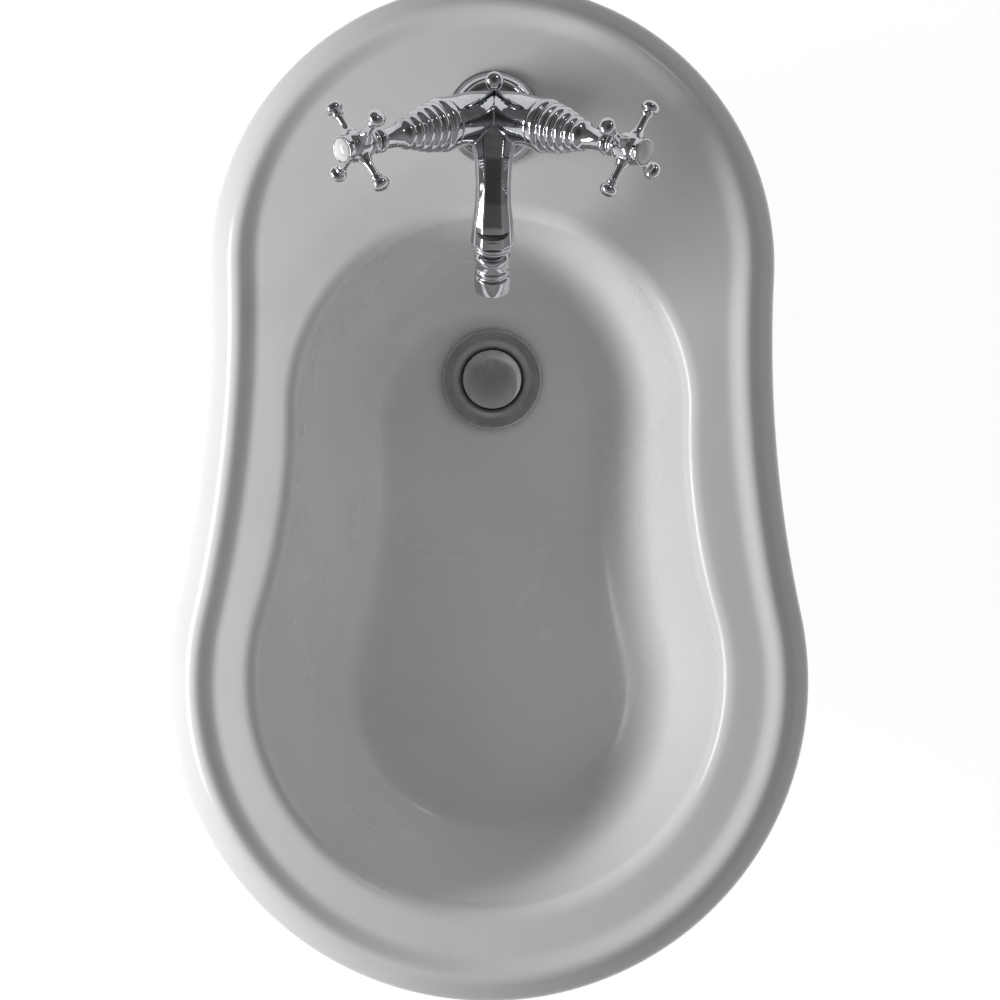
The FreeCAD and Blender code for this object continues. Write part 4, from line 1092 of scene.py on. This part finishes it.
@dataclass
class TapBody:
    """The casting that joins the base, both valve arms and the spout, in millimetres."""

    boss_radius: float = 20.5
    boss_height: float = 12.0
    boss_ease: float = 3.0
    edge_ease: float = 0.8
    column_radius: float = 11.0
    column_fillet: float = 6.0
    crown_share: float = 0.9
    crown_ease: float = 5.0
    valve_height: float = 26.0
    arm_root: float = 12.0
    arm_radius: float = 14.5
    arm_length: float = 35.8
    arm_ease: float = 6.0
    seat_depth: float = 16.0
    spout_reach: float = 72.0
    heart_radius: float = 15.5
    heart_offset: Place = (0.0, -4.0, 1.0)
    heart_flats: tuple[int, int] = (64, 48)
    inlet_radius: float = 5.0
    inlet_spacing: float = 17.0
    inlet_depth: float = 10.0
    rod_offset: float = 14.0
    rod_bore: float = 2.7
    overcut: float = 2.0
    # Share of the reach, height, dip in degrees, half width, half height of each section of the spout
    sections: Rows = (
        (0.0, 0.0, -22.0, 15.0, 12.0),
        (0.12, 4.0, -22.0, 14.6, 11.6),
        (0.25, 8.6, -19.0, 12.6, 11.0),
        (0.42, 13.75, -11.0, 10.4, 9.8),
        (0.58, 15.6, 2.0, 9.8, 9.5),
        (0.72, 16.0, 11.0, 10.0, 9.6),
        (0.87, 13.6, 26.0, 11.4, 10.6),
        (1.0, 9.0, 40.0, 12.3, 11.9),
    )
    # The right half of a section: its bevelled shoulder, then the angles of its belly
    shoulder: Rows = ((0.46, 0.94), (0.86, 0.62), (1.0, 0.20))
    belly: tuple[int, ...] = (-10, -30, -50, -70, -90)
    flange_radius: float = 27.0
    flange_height: float = 6.0
    voxel: float = 0.55
    smoothing: int = 6

    def __post_init__(self) -> None:
        """Take the tap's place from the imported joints."""
        self.valve_point = Vector(Side.RIGHT.joint["pos_m"]) / MM
        self.base_point = self.valve_point - Vector((0, 0, self.valve_height))

    def section(self, half_width: float, half_height: float) -> list[Vector]:
        """Draw the spout's section: a flat top with bevelled shoulders over a round belly.

        Args:
            half_width: Half of its width.
            half_height: Half of its height.

        Returns:
            Points in order, in the XZ plane.
        """
        angles = [math.radians(angle) for angle in self.belly]
        right = [*self.shoulder, *((math.cos(angle), math.sin(angle)) for angle in angles)]
        shape = right + [(-x, z) for x, z in reversed(right[:-1])]
        return [Vector((x * half_width, 0, z * half_height)) for x, z in shape]

    def spout(self) -> BMesh:
        """Extrude the spout along its sections.

        Returns:
            A closed mesh in millimetres, in its place.
        """
        rings = []
        for share, height, dip, half_width, half_height in self.sections:
            turn = Matrix.Rotation(math.radians(dip), 4, "X")
            shift = Matrix.Translation(self.valve_point + Vector((0, -self.spout_reach * share, height)))
            rings.append([shift @ turn @ point for point in self.section(half_width, half_height)])
        bm = bmesh.new()
        loop, edges = start_ring(bm, rings[0])
        bm.faces.new(loop)
        for points in rings[1:]:
            loop, edges = extrude_ring(bm, loop, edges, points)
        bm.faces.new(loop)
        tidy(bm)
        return bm

    def casting(self) -> BMesh:
        """Melt the column, the arms and the spout together.

        Returns:
            One closed skin in millimetres, in its place.
        """
        boss, waist, arm_radius = self.boss_radius, self.column_radius, self.arm_radius
        crown = self.valve_height + waist * self.crown_share
        column = [
            (0, 0), (boss, 0, self.edge_ease), (boss, self.boss_height, self.boss_ease),
            (waist, self.boss_height, self.column_fillet), (waist, crown, self.crown_ease), (0, crown),
        ]
        arm = [
            (0, 0), (self.arm_root, 0), (arm_radius, self.seat_depth, self.arm_ease),
            (arm_radius, self.arm_length, self.edge_ease), (0, self.arm_length),
        ]
        whole = bmesh.new()
        heart = Matrix.Translation(self.valve_point + Vector(self.heart_offset))
        around, upright = self.heart_flats
        bmesh.ops.create_uvsphere(
            whole, u_segments=around, v_segments=upright, radius=self.heart_radius, matrix=heart
        )
        add_mesh(whole, turned(column), Matrix.Translation(self.base_point))
        add_mesh(whole, self.spout())
        for side in Side:
            add_mesh(whole, turned(arm), along(side.joint["axis"], self.valve_point))
        return cast(whole, self.voxel, self.smoothing)

    def cutters(self) -> list[BMesh]:
        """Make the shapes of the inlets and of the lift rod's bore.

        Returns:
            Closed meshes in millimetres.
        """
        high = self.boss_height + self.column_fillet + self.overcut
        inlet = (self.inlet_radius, -self.overcut, self.inlet_depth, Flats.HOLE)
        bore = (self.rod_bore, -self.overcut, high, Flats.PIN)
        half = self.inlet_spacing / 2
        holes = ((inlet, half, 0), (inlet, -half, 0), (bore, 0, self.rod_offset))
        return [peg(*hole, Matrix.Translation(self.base_point + Vector((x, y, 0)))) for hole, x, y in holes]

    def flange(self) -> BMesh:
        """Turn the domed flange under the boss.

        Returns:
            A closed mesh in millimetres, in its place.
        """
        edge, top, boss, hole = self.flange_radius, self.flange_height, self.boss_radius, Ceramic.tap_hole
        corners = [
            (hole, 0), (edge, 0, 0.4), (edge, 1.7, 0.7), (edge - 1.6, 2.6, 0.5), (edge - 2.6, 3.9, 1.0),
            (boss + 2.4, 5.2, 0.6), (boss + 1.5, top, 0.5), (hole, top),
        ]
        under = Matrix.Translation(self.base_point - Vector((0, 0, top)))
        return turned(corners, Flats.BROAD, closed=True, place=under)

    def build(self) -> None:
        """Make the casting and its flange."""
        piece = make_piece("tap_casting", self.casting(), CHROME, CAD_BODY, ["tap_body"], CAST_ANGLE)
        carve(piece, CHROME, self.cutters())
        make_piece("tap_flange", self.flange(), CHROME, CAD_BODY, ["base_flange"])


@dataclass
class Valve:
    """One side's bonnet, cross handle and button, along the valve's axis, in millimetres."""

    side: Side
    spin: float
    bonnet_start: float = 36.0
    bonnet_end: float = 85.2
    bell_radius: float = 15.2
    # Radius, height and easing radius of the bell's shrinking rings and of its neck
    bell: Rows = (
        (15.2, 40.9, 1.2), (13.6, 41.6, 0.5), (13.2, 42.9, 0.5), (14.0, 44.2, 0.8), (14.0, 46.8, 0.8),
        (12.7, 47.9, 0.4), (13.2, 49.0, 0.5), (13.2, 51.4, 0.8), (11.3, 52.6, 0.4), (11.8, 53.6, 0.5),
        (11.8, 56.2, 0.8), (9.5, 57.6, 0.5), (10.0, 58.7, 0.5), (10.0, 61.4, 0.8), (8.3, 62.8, 0.5),
        (8.7, 63.9, 0.5), (8.7, 66.6, 0.8), (6.7, 68.8, 1.5), (5.7, 75.0, 2.0), (5.7, 81.6, 0.6),
        (6.9, 82.6, 0.5), (6.9, 84.2, 0.6),
    )
    lip_radius: float = 5.9
    thread_radius: float = 12.1
    thread_end: float = 42.0
    sleeve_radius: float = 7.3
    sleeve_end: float = 64.6
    spindle_radius: float = 4.4
    spindle_start: float = 71.5
    hub_start: float = 86.0
    hub_end: float = 110.0
    hub_radius: float = 8.6
    brim_width: float = 1.2
    cross_height: float = 99.0
    spoke_count: int = 4
    spoke_start: float = 5.5
    spoke_radius: float = 2.3
    spoke_root: float = 4.2
    spoke_reach: float = 29.0
    tip_radius: float = 5.2
    tip_length: float = 6.5
    button_radius: float = 6.6
    button_depth: float = 4.0
    button_crown: float = 2.4
    button_ease: float = 0.6
    voxel: float = 0.36
    smoothing: int = 3

    def placement(self, spin: float = 0.0) -> Matrix:
        """Give the placement of a piece on the valve's axis.

        Args:
            spin: A turn about the axis, in degrees.

        Returns:
            A matrix in millimetres.
        """
        axis = Vector(self.side.joint["axis"])
        point = Vector(self.side.joint["pos_m"]) / MM
        flat = Matrix.Rotation(math.atan2(axis.y, axis.x), 4, "Z")
        tilt = Matrix.Rotation(math.acos(axis.z), 4, "Y")
        return Matrix.Translation(point) @ flat @ tilt @ Matrix.Rotation(math.radians(spin), 4, "Z")

    def bonnet(self) -> BMesh:
        """Turn the stepped bell between the arm and the handle.

        Returns:
            A closed mesh in millimetres, in its place.
        """
        low, high, bore, thread = self.bonnet_start, self.bonnet_end, self.spindle_radius, self.thread_radius
        corners = [
            (self.bell_radius, low, 0.6), *self.bell, (self.lip_radius, high, 0.2), (bore, high),
            (bore, self.spindle_start), (self.sleeve_radius, self.sleeve_end), (thread, self.thread_end),
            (thread, low),
        ]
        return turned(corners, Flats.BROAD, closed=True, place=self.placement())

    def hub(self) -> BMesh:
        """Turn the handle's hub, with the recess for the button.

        Returns:
            A closed mesh in millimetres, on the Z axis.
        """
        low, high, bore, wide = self.hub_start, self.hub_end, self.spindle_radius, self.hub_radius
        brim, seat = self.button_radius + self.brim_width, self.button_radius + FIT
        recess = high - self.button_depth
        corners = [
            (bore, low), (6.0, low, 0.3), (6.9, low + 1.2, 0.6), (5.9, low + 3.4, 1.2),
            (wide, self.cross_height - self.spoke_root, 2.0),
            (wide, self.cross_height + self.spoke_root, 1.6),
            (brim - 0.5, recess, 0.8), (brim, recess + 1.4, 0.5), (brim, high, 0.45), (seat, high, 0.3),
            (seat, recess), (bore, recess),
        ]
        return turned(corners, closed=True)

    def spoke(self) -> BMesh:
        """Turn one spoke with its swelling tip.

        Returns:
            A closed mesh in millimetres, along +X.
        """
        root, thin, tip = self.spoke_root, self.spoke_radius, self.tip_radius
        start, hub, reach = self.spoke_start, self.hub_radius, self.spoke_reach
        neck = reach - self.tip_length
        corners = [
            (0, start), (root, start), (root, hub, 0.6), (3.0, hub + 2.2, 1.0), (thin, hub + 5.0, 2.0),
            (thin, neck - 2.6, 0.8), (thin + 1.0, neck - 1.8, 0.4), (thin + 1.0, neck - 0.8, 0.4),
            (thin + 0.2, neck, 0.3), (tip - 0.6, neck + 1.2, 1.0), (tip, neck + 3.4, 1.2),
            (tip - 0.8, reach - 1.2, 1.0), (2.2, reach, 0.6), (0, reach),
        ]
        return turned(corners, Flats.ROD, place=Matrix.Rotation(math.radians(90), 4, "Y"))

    def handle(self) -> BMesh:
        """Melt the hub and the spokes into one cross.

        Returns:
            One closed skin in millimetres, in its place.
        """
        whole = self.hub()
        lift = Matrix.Translation((0, 0, self.cross_height))
        for number in range(self.spoke_count):
            turn = Matrix.Rotation(math.tau * number / self.spoke_count, 4, "Z")
            add_mesh(whole, self.spoke(), lift @ turn)
        bm = cast(whole, self.voxel, self.smoothing)
        bm.transform(self.placement(self.spin))
        return bm

    def button(self) -> BMesh:
        """Turn the porcelain button with its crown.

        Returns:
            A closed mesh in millimetres, in its place.
        """
        radius, top = self.button_radius, self.hub_end
        foot = top - self.button_depth
        crown = dome(radius, top, self.button_crown)
        corners = [(0, foot), (radius, foot), (radius, top, self.button_ease), *crown]
        return turned(corners, place=self.placement())

    def build(self) -> None:
        """Make the bonnet, the handle and the button."""
        tag = self.side.value
        turning = f"{tag}_handle"
        make_piece(f"{tag}_bonnet_bell", self.bonnet(), CHROME, CAD_BODY, [f"{tag}_bonnet"])
        make_piece(f"{tag}_cross_handle", self.handle(), CHROME, turning, [f"{tag}_handle"], CAST_ANGLE)
        make_piece(f"{tag}_button_dome", self.button(), BUTTON, turning, [f"{tag}_index_button"])


@dataclass
class Swivel:
    """The collar and ball on the spout's outlet, and the nozzle that tilts on it, in millimetres."""

    ball_radius: float = 9.3
    ball_bore: float = 4.5
    ball_centre: float = 1.5
    ball_steps: int = 24
    room: float = 9.65
    collar_radius: float = 12.2
    collar_spigot: float = 4.5
    collar_length: float = 4.6
    collar_lip: float = 9.2
    spigot_radius: float = 10.5
    nozzle_radius: float = 10.2
    nozzle_cup: float = 6.0
    nozzle_shoulder: float = 8.0
    nozzle_length: float = 32.0
    # Inset from the nozzle's radius, distance from the ball's centre and easing radius of the grooves
    grooves: Rows = (
        (0.0, 11.5, 0.8), (1.3, 12.6, 0.5), (1.3, 16.4, 0.6), (0.4, 17.6, 0.4), (0.4, 19.4, 0.4),
        (1.2, 20.2, 0.4), (1.2, 21.4, 0.4), (0.0, 22.4, 0.6),
    )
    cup_steps: int = 8
    insert_radius: float = 8.2
    insert_length: float = 9.0
    insert_recess: float = 1.0
    mesh_inset: float = 1.2
    mesh_width: float = 0.9
    mesh_slope: float = 0.2
    mesh_depth: float = 0.8

    def __post_init__(self) -> None:
        """Take the ball's centre and the outlet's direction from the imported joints."""
        yaw, pitch = joint_named("nozzle_yaw"), joint_named("nozzle_pitch")
        outward = -Vector(yaw["axis"]).cross(Vector(pitch["axis"]))
        if outward.y > 0:
            outward.negate()
        start = Matrix.Translation((0, 0, -self.ball_centre))
        self.outlet = along(outward, Vector(pitch["pos_m"]) / MM) @ start

    def arc(self, radius: float, first: float, last: float, steps: int) -> list[tuple[float, float]]:
        """Give corners on an arc about the ball's centre.

        Args:
            radius: The arc's radius.
            first: The angle that it starts at, from the ball's equator.
            last: The angle that it ends at.
            steps: How many straight runs it has.

        Returns:
            The corners in order.
        """
        angles = [first + (last - first) * step / steps for step in range(steps + 1)]
        return [(radius * math.cos(angle), self.ball_centre + radius * math.sin(angle)) for angle in angles]

    def collar(self) -> Profile:
        """Draw the collar that holds the ball.

        Returns:
            The profile's corners, in order.
        """
        edge, end = self.collar_radius, self.collar_length
        spigot, low = self.spigot_radius, -self.collar_spigot
        return [
            (self.room, low), (spigot, low), (spigot, 0), (edge, 0, 0.4), (edge, 1.4, 0.5),
            (edge - 0.7, 2.0, 0.3), (edge - 0.3, 2.6, 0.4), (edge - 0.3, 3.6, 0.6), (edge - 1.2, end, 0.5),
            (self.collar_lip, end, 0.2), (self.room, self.ball_centre),
        ]

    def ball(self) -> Profile:
        """Draw the ball with its waterway."""
        spread = math.acos(self.ball_bore / self.ball_radius)
        return self.arc(self.ball_radius, -spread, spread, self.ball_steps)

    def housing(self) -> Profile:
        """Draw the nozzle, with its cup over the ball, its grooves and its mouth.

        Returns:
            The profile's corners, in order.
        """
        base, radius, bore = self.ball_centre, self.nozzle_radius, self.ball_bore
        end, shoulder = base + self.nozzle_length, base + self.nozzle_shoulder
        insert_low = end - self.insert_recess - self.insert_length
        mouth = self.insert_radius + FIT
        inner, outer = math.acos(bore / self.room), math.asin(self.nozzle_cup / self.room)
        return [
            *self.arc(self.room, inner, outer, self.cup_steps),
            (radius - 0.9, shoulder - 0.9, 0.5), (radius, shoulder + 0.4, 0.6),
            *((radius - inset, base + way, ease) for inset, way, ease in self.grooves),
            (radius, end, 0.8), (mouth, end, 0.3), (mouth, insert_low), (bore, insert_low),
        ]

    def insert(self) -> Profile:
        """Draw the insert, with rings in its face for the water's mesh.

        Returns:
            The profile's corners, ending on the axis.
        """
        radius, width, slope = self.insert_radius, self.mesh_width, self.mesh_slope
        top = self.ball_centre + self.nozzle_length - self.insert_recess
        low, floor = top - self.insert_length, top - self.mesh_depth
        corners = [(0, low), (radius, low), (radius, top, 0.3)]
        radius -= self.mesh_inset
        while radius > width * 2:
            corners += [(radius, top), (radius - slope, floor)]
            corners += [(radius - width + slope, floor), (radius - width, top)]
            radius -= width * 2
        return [*corners, (0, top)]

    def build(self) -> None:
        """Make the collar, the ball, the nozzle and its insert."""
        rings = (
            ("outlet_collar", self.collar(), CAD_BODY, "swivel_collar"),
            ("outlet_ball", self.ball(), "swivel_ball", "swivel_ball"),
            ("nozzle_housing", self.housing(), "nozzle", "aerator_housing"),
        )
        for name, profile, body, solid in rings:
            make_piece(name, turned(profile, closed=True, place=self.outlet), CHROME, body, [solid])
        insert = turned(self.insert(), Flats.SMALL, place=self.outlet)
        make_piece("nozzle_insert", insert, PLASTIC, "nozzle", ["aerator_insert"])


@dataclass
class Waste:
    """The flange and plug that show in the bowl, in millimetres."""

    flange_radius: float = 30.5
    flange_height: float = 3.2
    seal_thickness: float = 1.5
    cone_top: float = 23.0
    cone_depth: float = 10.5
    dish_radius: float = 18.5
    dish_depth: float = 1.9
    well_radius: float = 18.1
    well_depth: float = 3.6
    throat_radius: float = 15.6
    throat_length: float = 4.0
    bore: float = 18.3
    tube_radius: float = 21.0
    tube_length: float = 72.0
    plug_radius: float = 17.6
    plug_edge: float = 1.2
    plug_crown: float = 3.6
    crown_steps: int = 14
    plug_bore: float = 3.1
    plug_bore_depth: float = 2.1
    plug_seat: float = 15.4
    plug_seal_height: float = 1.6

    @staticmethod
    def under_top(node: str, drop: float) -> Matrix:
        """Give the place on the drain's axis at a drop below a solid's top."""
        centre = middle("waste_flange")
        return Matrix.Translation((centre.x, centre.y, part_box(node)[1].z / MM - drop))

    def flange(self) -> BMesh:
        """Turn the flange with its dish, well, throat and tube.

        Returns:
            A closed mesh in millimetres, in its place.
        """
        seat, edge, bore, tube = self.seal_thickness, self.flange_radius, self.bore, self.tube_radius
        well, throat, low = self.well_radius, self.throat_radius, -self.tube_length
        top = seat + self.flange_height
        cone_low = top - self.cone_depth
        slope = self.cone_depth / (self.cone_top - throat)
        corners = [
            (bore, low), (tube, low, 0.5), (tube, seat), (edge, seat, 0.2), (edge, seat + 1.4, 0.7),
            (edge - 1.0, top - 0.25, 0.5), (edge - 2.0, top, 0.4), (self.cone_top + 0.6, top, 0.5),
            (self.dish_radius, top - self.dish_depth, 0.6), (well, top - self.well_depth, 0.5),
            (well, cone_low + (well - throat) * slope, 0.5), (throat, cone_low, 1.2),
            (throat, cone_low - self.throat_length, 0.5), (bore, cone_low - self.throat_length * 2),
        ]
        return turned(corners, Flats.BROAD, closed=True, place=self.under_top("waste_flange", top))

    def plug(self) -> BMesh:
        """Turn the plug's cap with its crown and rolled edge.

        Returns:
            A closed mesh in millimetres, in its place.
        """
        rim, edge, crown, seat = self.plug_radius, self.plug_edge, self.plug_crown, -self.plug_seal_height
        bore, depth = self.plug_bore, self.plug_bore_depth
        corners = [
            (0, depth), (bore, depth), (bore, seat), (self.plug_seat, seat, 0.3), (self.plug_seat, 0),
            (rim, 0, 0.4), (rim, edge, 0.5), *dome(rim, edge, crown, self.crown_steps),
        ]
        return turned(corners, Flats.BROAD, place=self.under_top("plug", edge + crown))

    def build(self) -> None:
        """Make the flange and the plug."""
        make_piece("drain_flange", self.flange(), FILMED_CHROME, CAD_BODY, ["waste_flange"])
        make_piece("plug_cap", self.plug(), FILMED_CHROME, "plug", ["plug"])


@dataclass
class LiftRod:
    """The rod and knob that work the plug, in millimetres."""

    rod_radius: float = 2.25
    rod_fit: float = 0.08
    knob_radius: float = 5.2
    knob_height: float = 16.0
    knob_margin: float = 0.05
    collar_radius: float = 3.9

    def knob(self) -> BMesh:
        """Turn the knob: a collar, a ring and a rounded grip.

        Returns:
            A closed mesh in millimetres, in its place.
        """
        axis, low = middle("lift_rod"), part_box("lift_knob")[0].z / MM
        bore, ball, neck = self.rod_radius + self.rod_fit, self.knob_radius, self.collar_radius
        grip = self.knob_height / 2
        corners = [
            (bore, 0), (neck, 0, 0.4), (neck, 1.6, 0.5), (neck - 0.7, 2.3, 0.4), (neck + 0.6, 3.6, 0.8),
            (ball - 0.4, 5.4, 1.2), (ball, grip, 1.2),
            *dome(ball, grip, self.knob_height - grip - self.knob_margin), (0, grip), (bore, grip),
        ]
        return turned(corners, closed=True, place=Matrix.Translation((axis.x, axis.y, low)))

    def rod(self) -> BMesh:
        """Turn the rod with its rounded lower end.

        Returns:
            A closed mesh in millimetres, in its place.
        """
        axis, radius = middle("lift_rod"), self.rod_radius
        low, high = (corner.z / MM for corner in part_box("lift_rod"))
        corners = [(0, low), (radius, low, 0.6), (radius, high, 0.3), (0, high)]
        return turned(corners, Flats.ROD, place=Matrix.Translation((axis.x, axis.y, 0)))

    def build(self) -> None:
        """Make the rod and its knob."""
        make_piece("knob_grip", self.knob(), CHROME, "lift_rod", ["lift_knob"])
        make_piece("rod_shaft", self.rod(), CHROME, "lift_rod", ["lift_rod"])


def dress_solids() -> None:
    """Give every solid that stays in sight its record's finish."""
    finishes = {finish.slot: finish for finish in FINISHES}
    for entry in frame["record"]["subparts"]:
        solid = frame["nodes"][entry["node"]]
        if solid.hide_render:
            continue
        finishes[entry["material_slot"]].dress(solid)
        log.info("%s keeps its solid, in %s", entry["node"], entry["material_slot"])


# The studio


@dataclass
class Studio:
    """A white floor, a soft light from the left, a dim room and the camera overhead, in metres."""

    floor_reach: float = 14.0
    floor_flats: int = 96
    floor_bounce: float = 0.3
    floor_white: float = 0.9
    floor_glow: float = 1.2
    glow_share: float = 0.78
    backdrop_height: float = 1.5
    key_place: Place = (-1.1, -0.1, 0.85)
    key_target: Place = (0.0, 0.0, 0.38)
    key_size: Span = (0.9, 0.24)
    key_power: float = 11.6
    glint_place: Place = (0.7, 1.1, 1.3)
    glint_target: Place = (0.0, -0.1, 0.3)
    glint_size: Span = (0.22, 0.22)
    glint_power: float = 1.2
    camera_place: Place = (0.0054, -0.0045, 2.388)
    camera_roll: float = 0.55
    lens: float = 127.0
    sensor: float = 36.0
    far_end: float = 60.0
    # Height of the direction, and how light the room is there
    room_ramp: Rows = ((0.0, 0.22), (0.2, 0.32), (0.5, 0.4), (0.75, 0.3), (0.92, 0.15), (1.0, 0.1))
    room_span: Span = (-0.6, 0.6)
    room_front: float = 1.0
    room_rear: float = 0.45

    def floor(self) -> None:
        """Lay the floor and its far backdrop, white to the eye and in reflections, with a faint shadow."""
        bm = bmesh.new()
        bmesh.ops.create_circle(bm, cap_ends=True, segments=self.floor_flats, radius=self.floor_reach)
        grown = bmesh.ops.extrude_edge_only(bm, edges=bm.edges[:])["geom"]
        upper = [item for item in grown if isinstance(item, BMVert)]
        bmesh.ops.translate(bm, verts=upper, vec=(0, 0, self.backdrop_height))
        floor = show("studio_floor", bm)
        material = bpy.data.materials.new("floor_white")
        material.use_nodes = True
        tree = Tree(material.node_tree)
        path = tree.add("ShaderNodeLightPath").outputs
        seen = tree.work("MAXIMUM", path["Is Camera Ray"], path["Is Glossy Ray"])
        seen = tree.work("MAXIMUM", seen, path["Is Transmission Ray"])
        white = tree.mix(seen, (self.floor_bounce,) * 3 + (1,), (self.floor_white,) * 3 + (1,))
        matt = tree.add("ShaderNodeBsdfDiffuse", {"Color": white}).outputs[0]
        glow = tree.add("ShaderNodeEmission", {"Color": (1, 1, 1, 1), "Strength": self.floor_glow}).outputs[0]
        share = tree.work("MULTIPLY", seen, self.glow_share)
        both = tree.add("ShaderNodeMixShader", {0: share, 1: matt, 2: glow}).outputs[0]
        tree.add("ShaderNodeOutputMaterial", {"Surface": both})
        floor.data.materials.append(material)

    def room(self) -> None:
        """Light the room dimly: pale low down, and dark overhead and behind."""
        world = bpy.data.worlds.new("studio_room")
        bpy.context.scene.world = world
        world.use_nodes = True
        tree = Tree(world.node_tree)
        direction = tree.add("ShaderNodeTexCoord").outputs["Generated"]
        parts = tree.add("ShaderNodeSeparateXYZ", {"Vector": direction}).outputs
        ramp = tree.add("ShaderNodeValToRGB", {"Fac": parts["Z"]})
        stops = ramp.color_ramp.elements
        while len(stops) < len(self.room_ramp):
            stops.new(1.0)
        for stop, (place, level) in zip(stops, self.room_ramp):
            stop.position = place
            stop.color = (level, level, level, 1)
        fade = tree.stretch(parts["Y"], self.room_span, (self.room_front, self.room_rear), soft=True)
        light = tree.add("ShaderNodeBackground", {"Color": ramp.outputs["Color"], "Strength": fade})
        tree.add("ShaderNodeOutputWorld", {"Surface": light.outputs[0]})

    @staticmethod
    def softbox(name: str, place: Place, target: Place, size: Span, power: float) -> None:
        """Hang a soft light.

        Args:
            name: The lamp's name.
            place: Where it hangs.
            target: What it points at.
            size: Its width and height.
            power: Its power in watts.
        """
        lamp = bpy.data.lights.new(name, "AREA")
        lamp.shape = "RECTANGLE"
        lamp.size, lamp.size_y = size
        lamp.energy = power
        box = link(name, lamp)
        box.location = place
        aim = Vector(target) - Vector(place)
        box.rotation_euler = aim.to_track_quat("-Z", "Y").to_euler()

    def camera(self) -> None:
        """Hang the camera over the deck, looking straight down."""
        lens = bpy.data.cameras.new("overhead")
        lens.lens = self.lens
        lens.sensor_width = self.sensor
        lens.clip_end = self.far_end
        camera = link("overhead", lens)
        camera.location = self.camera_place
        camera.rotation_euler = (0, 0, math.radians(self.camera_roll))
        bpy.context.scene.camera = camera

    def build(self) -> None:
        """Set up the floor, the room, the light on the left, the small one behind and the camera."""
        bpy.context.scene.view_settings.view_transform = "Standard"
        self.floor()
        self.room()
        self.softbox("left_softbox", self.key_place, self.key_target, self.key_size, self.key_power)
        self.softbox("rear_glint", self.glint_place, self.glint_target, self.glint_size, self.glint_power)
        self.camera()


def main() -> None:
    """Build every piece in order, then the studio."""
    logging.basicConfig(level=logging.INFO, format="%(message)s")
    Ceramic().build()
    TapBody().build()
    Valve(Side.RIGHT, spin=-11.0).build()
    Valve(Side.LEFT, spin=20.0).build()
    Swivel().build()
    Waste().build()
    LiftRod().build()
    dress_solids()
    Studio().build()


if __name__ == "__main__":
    main()
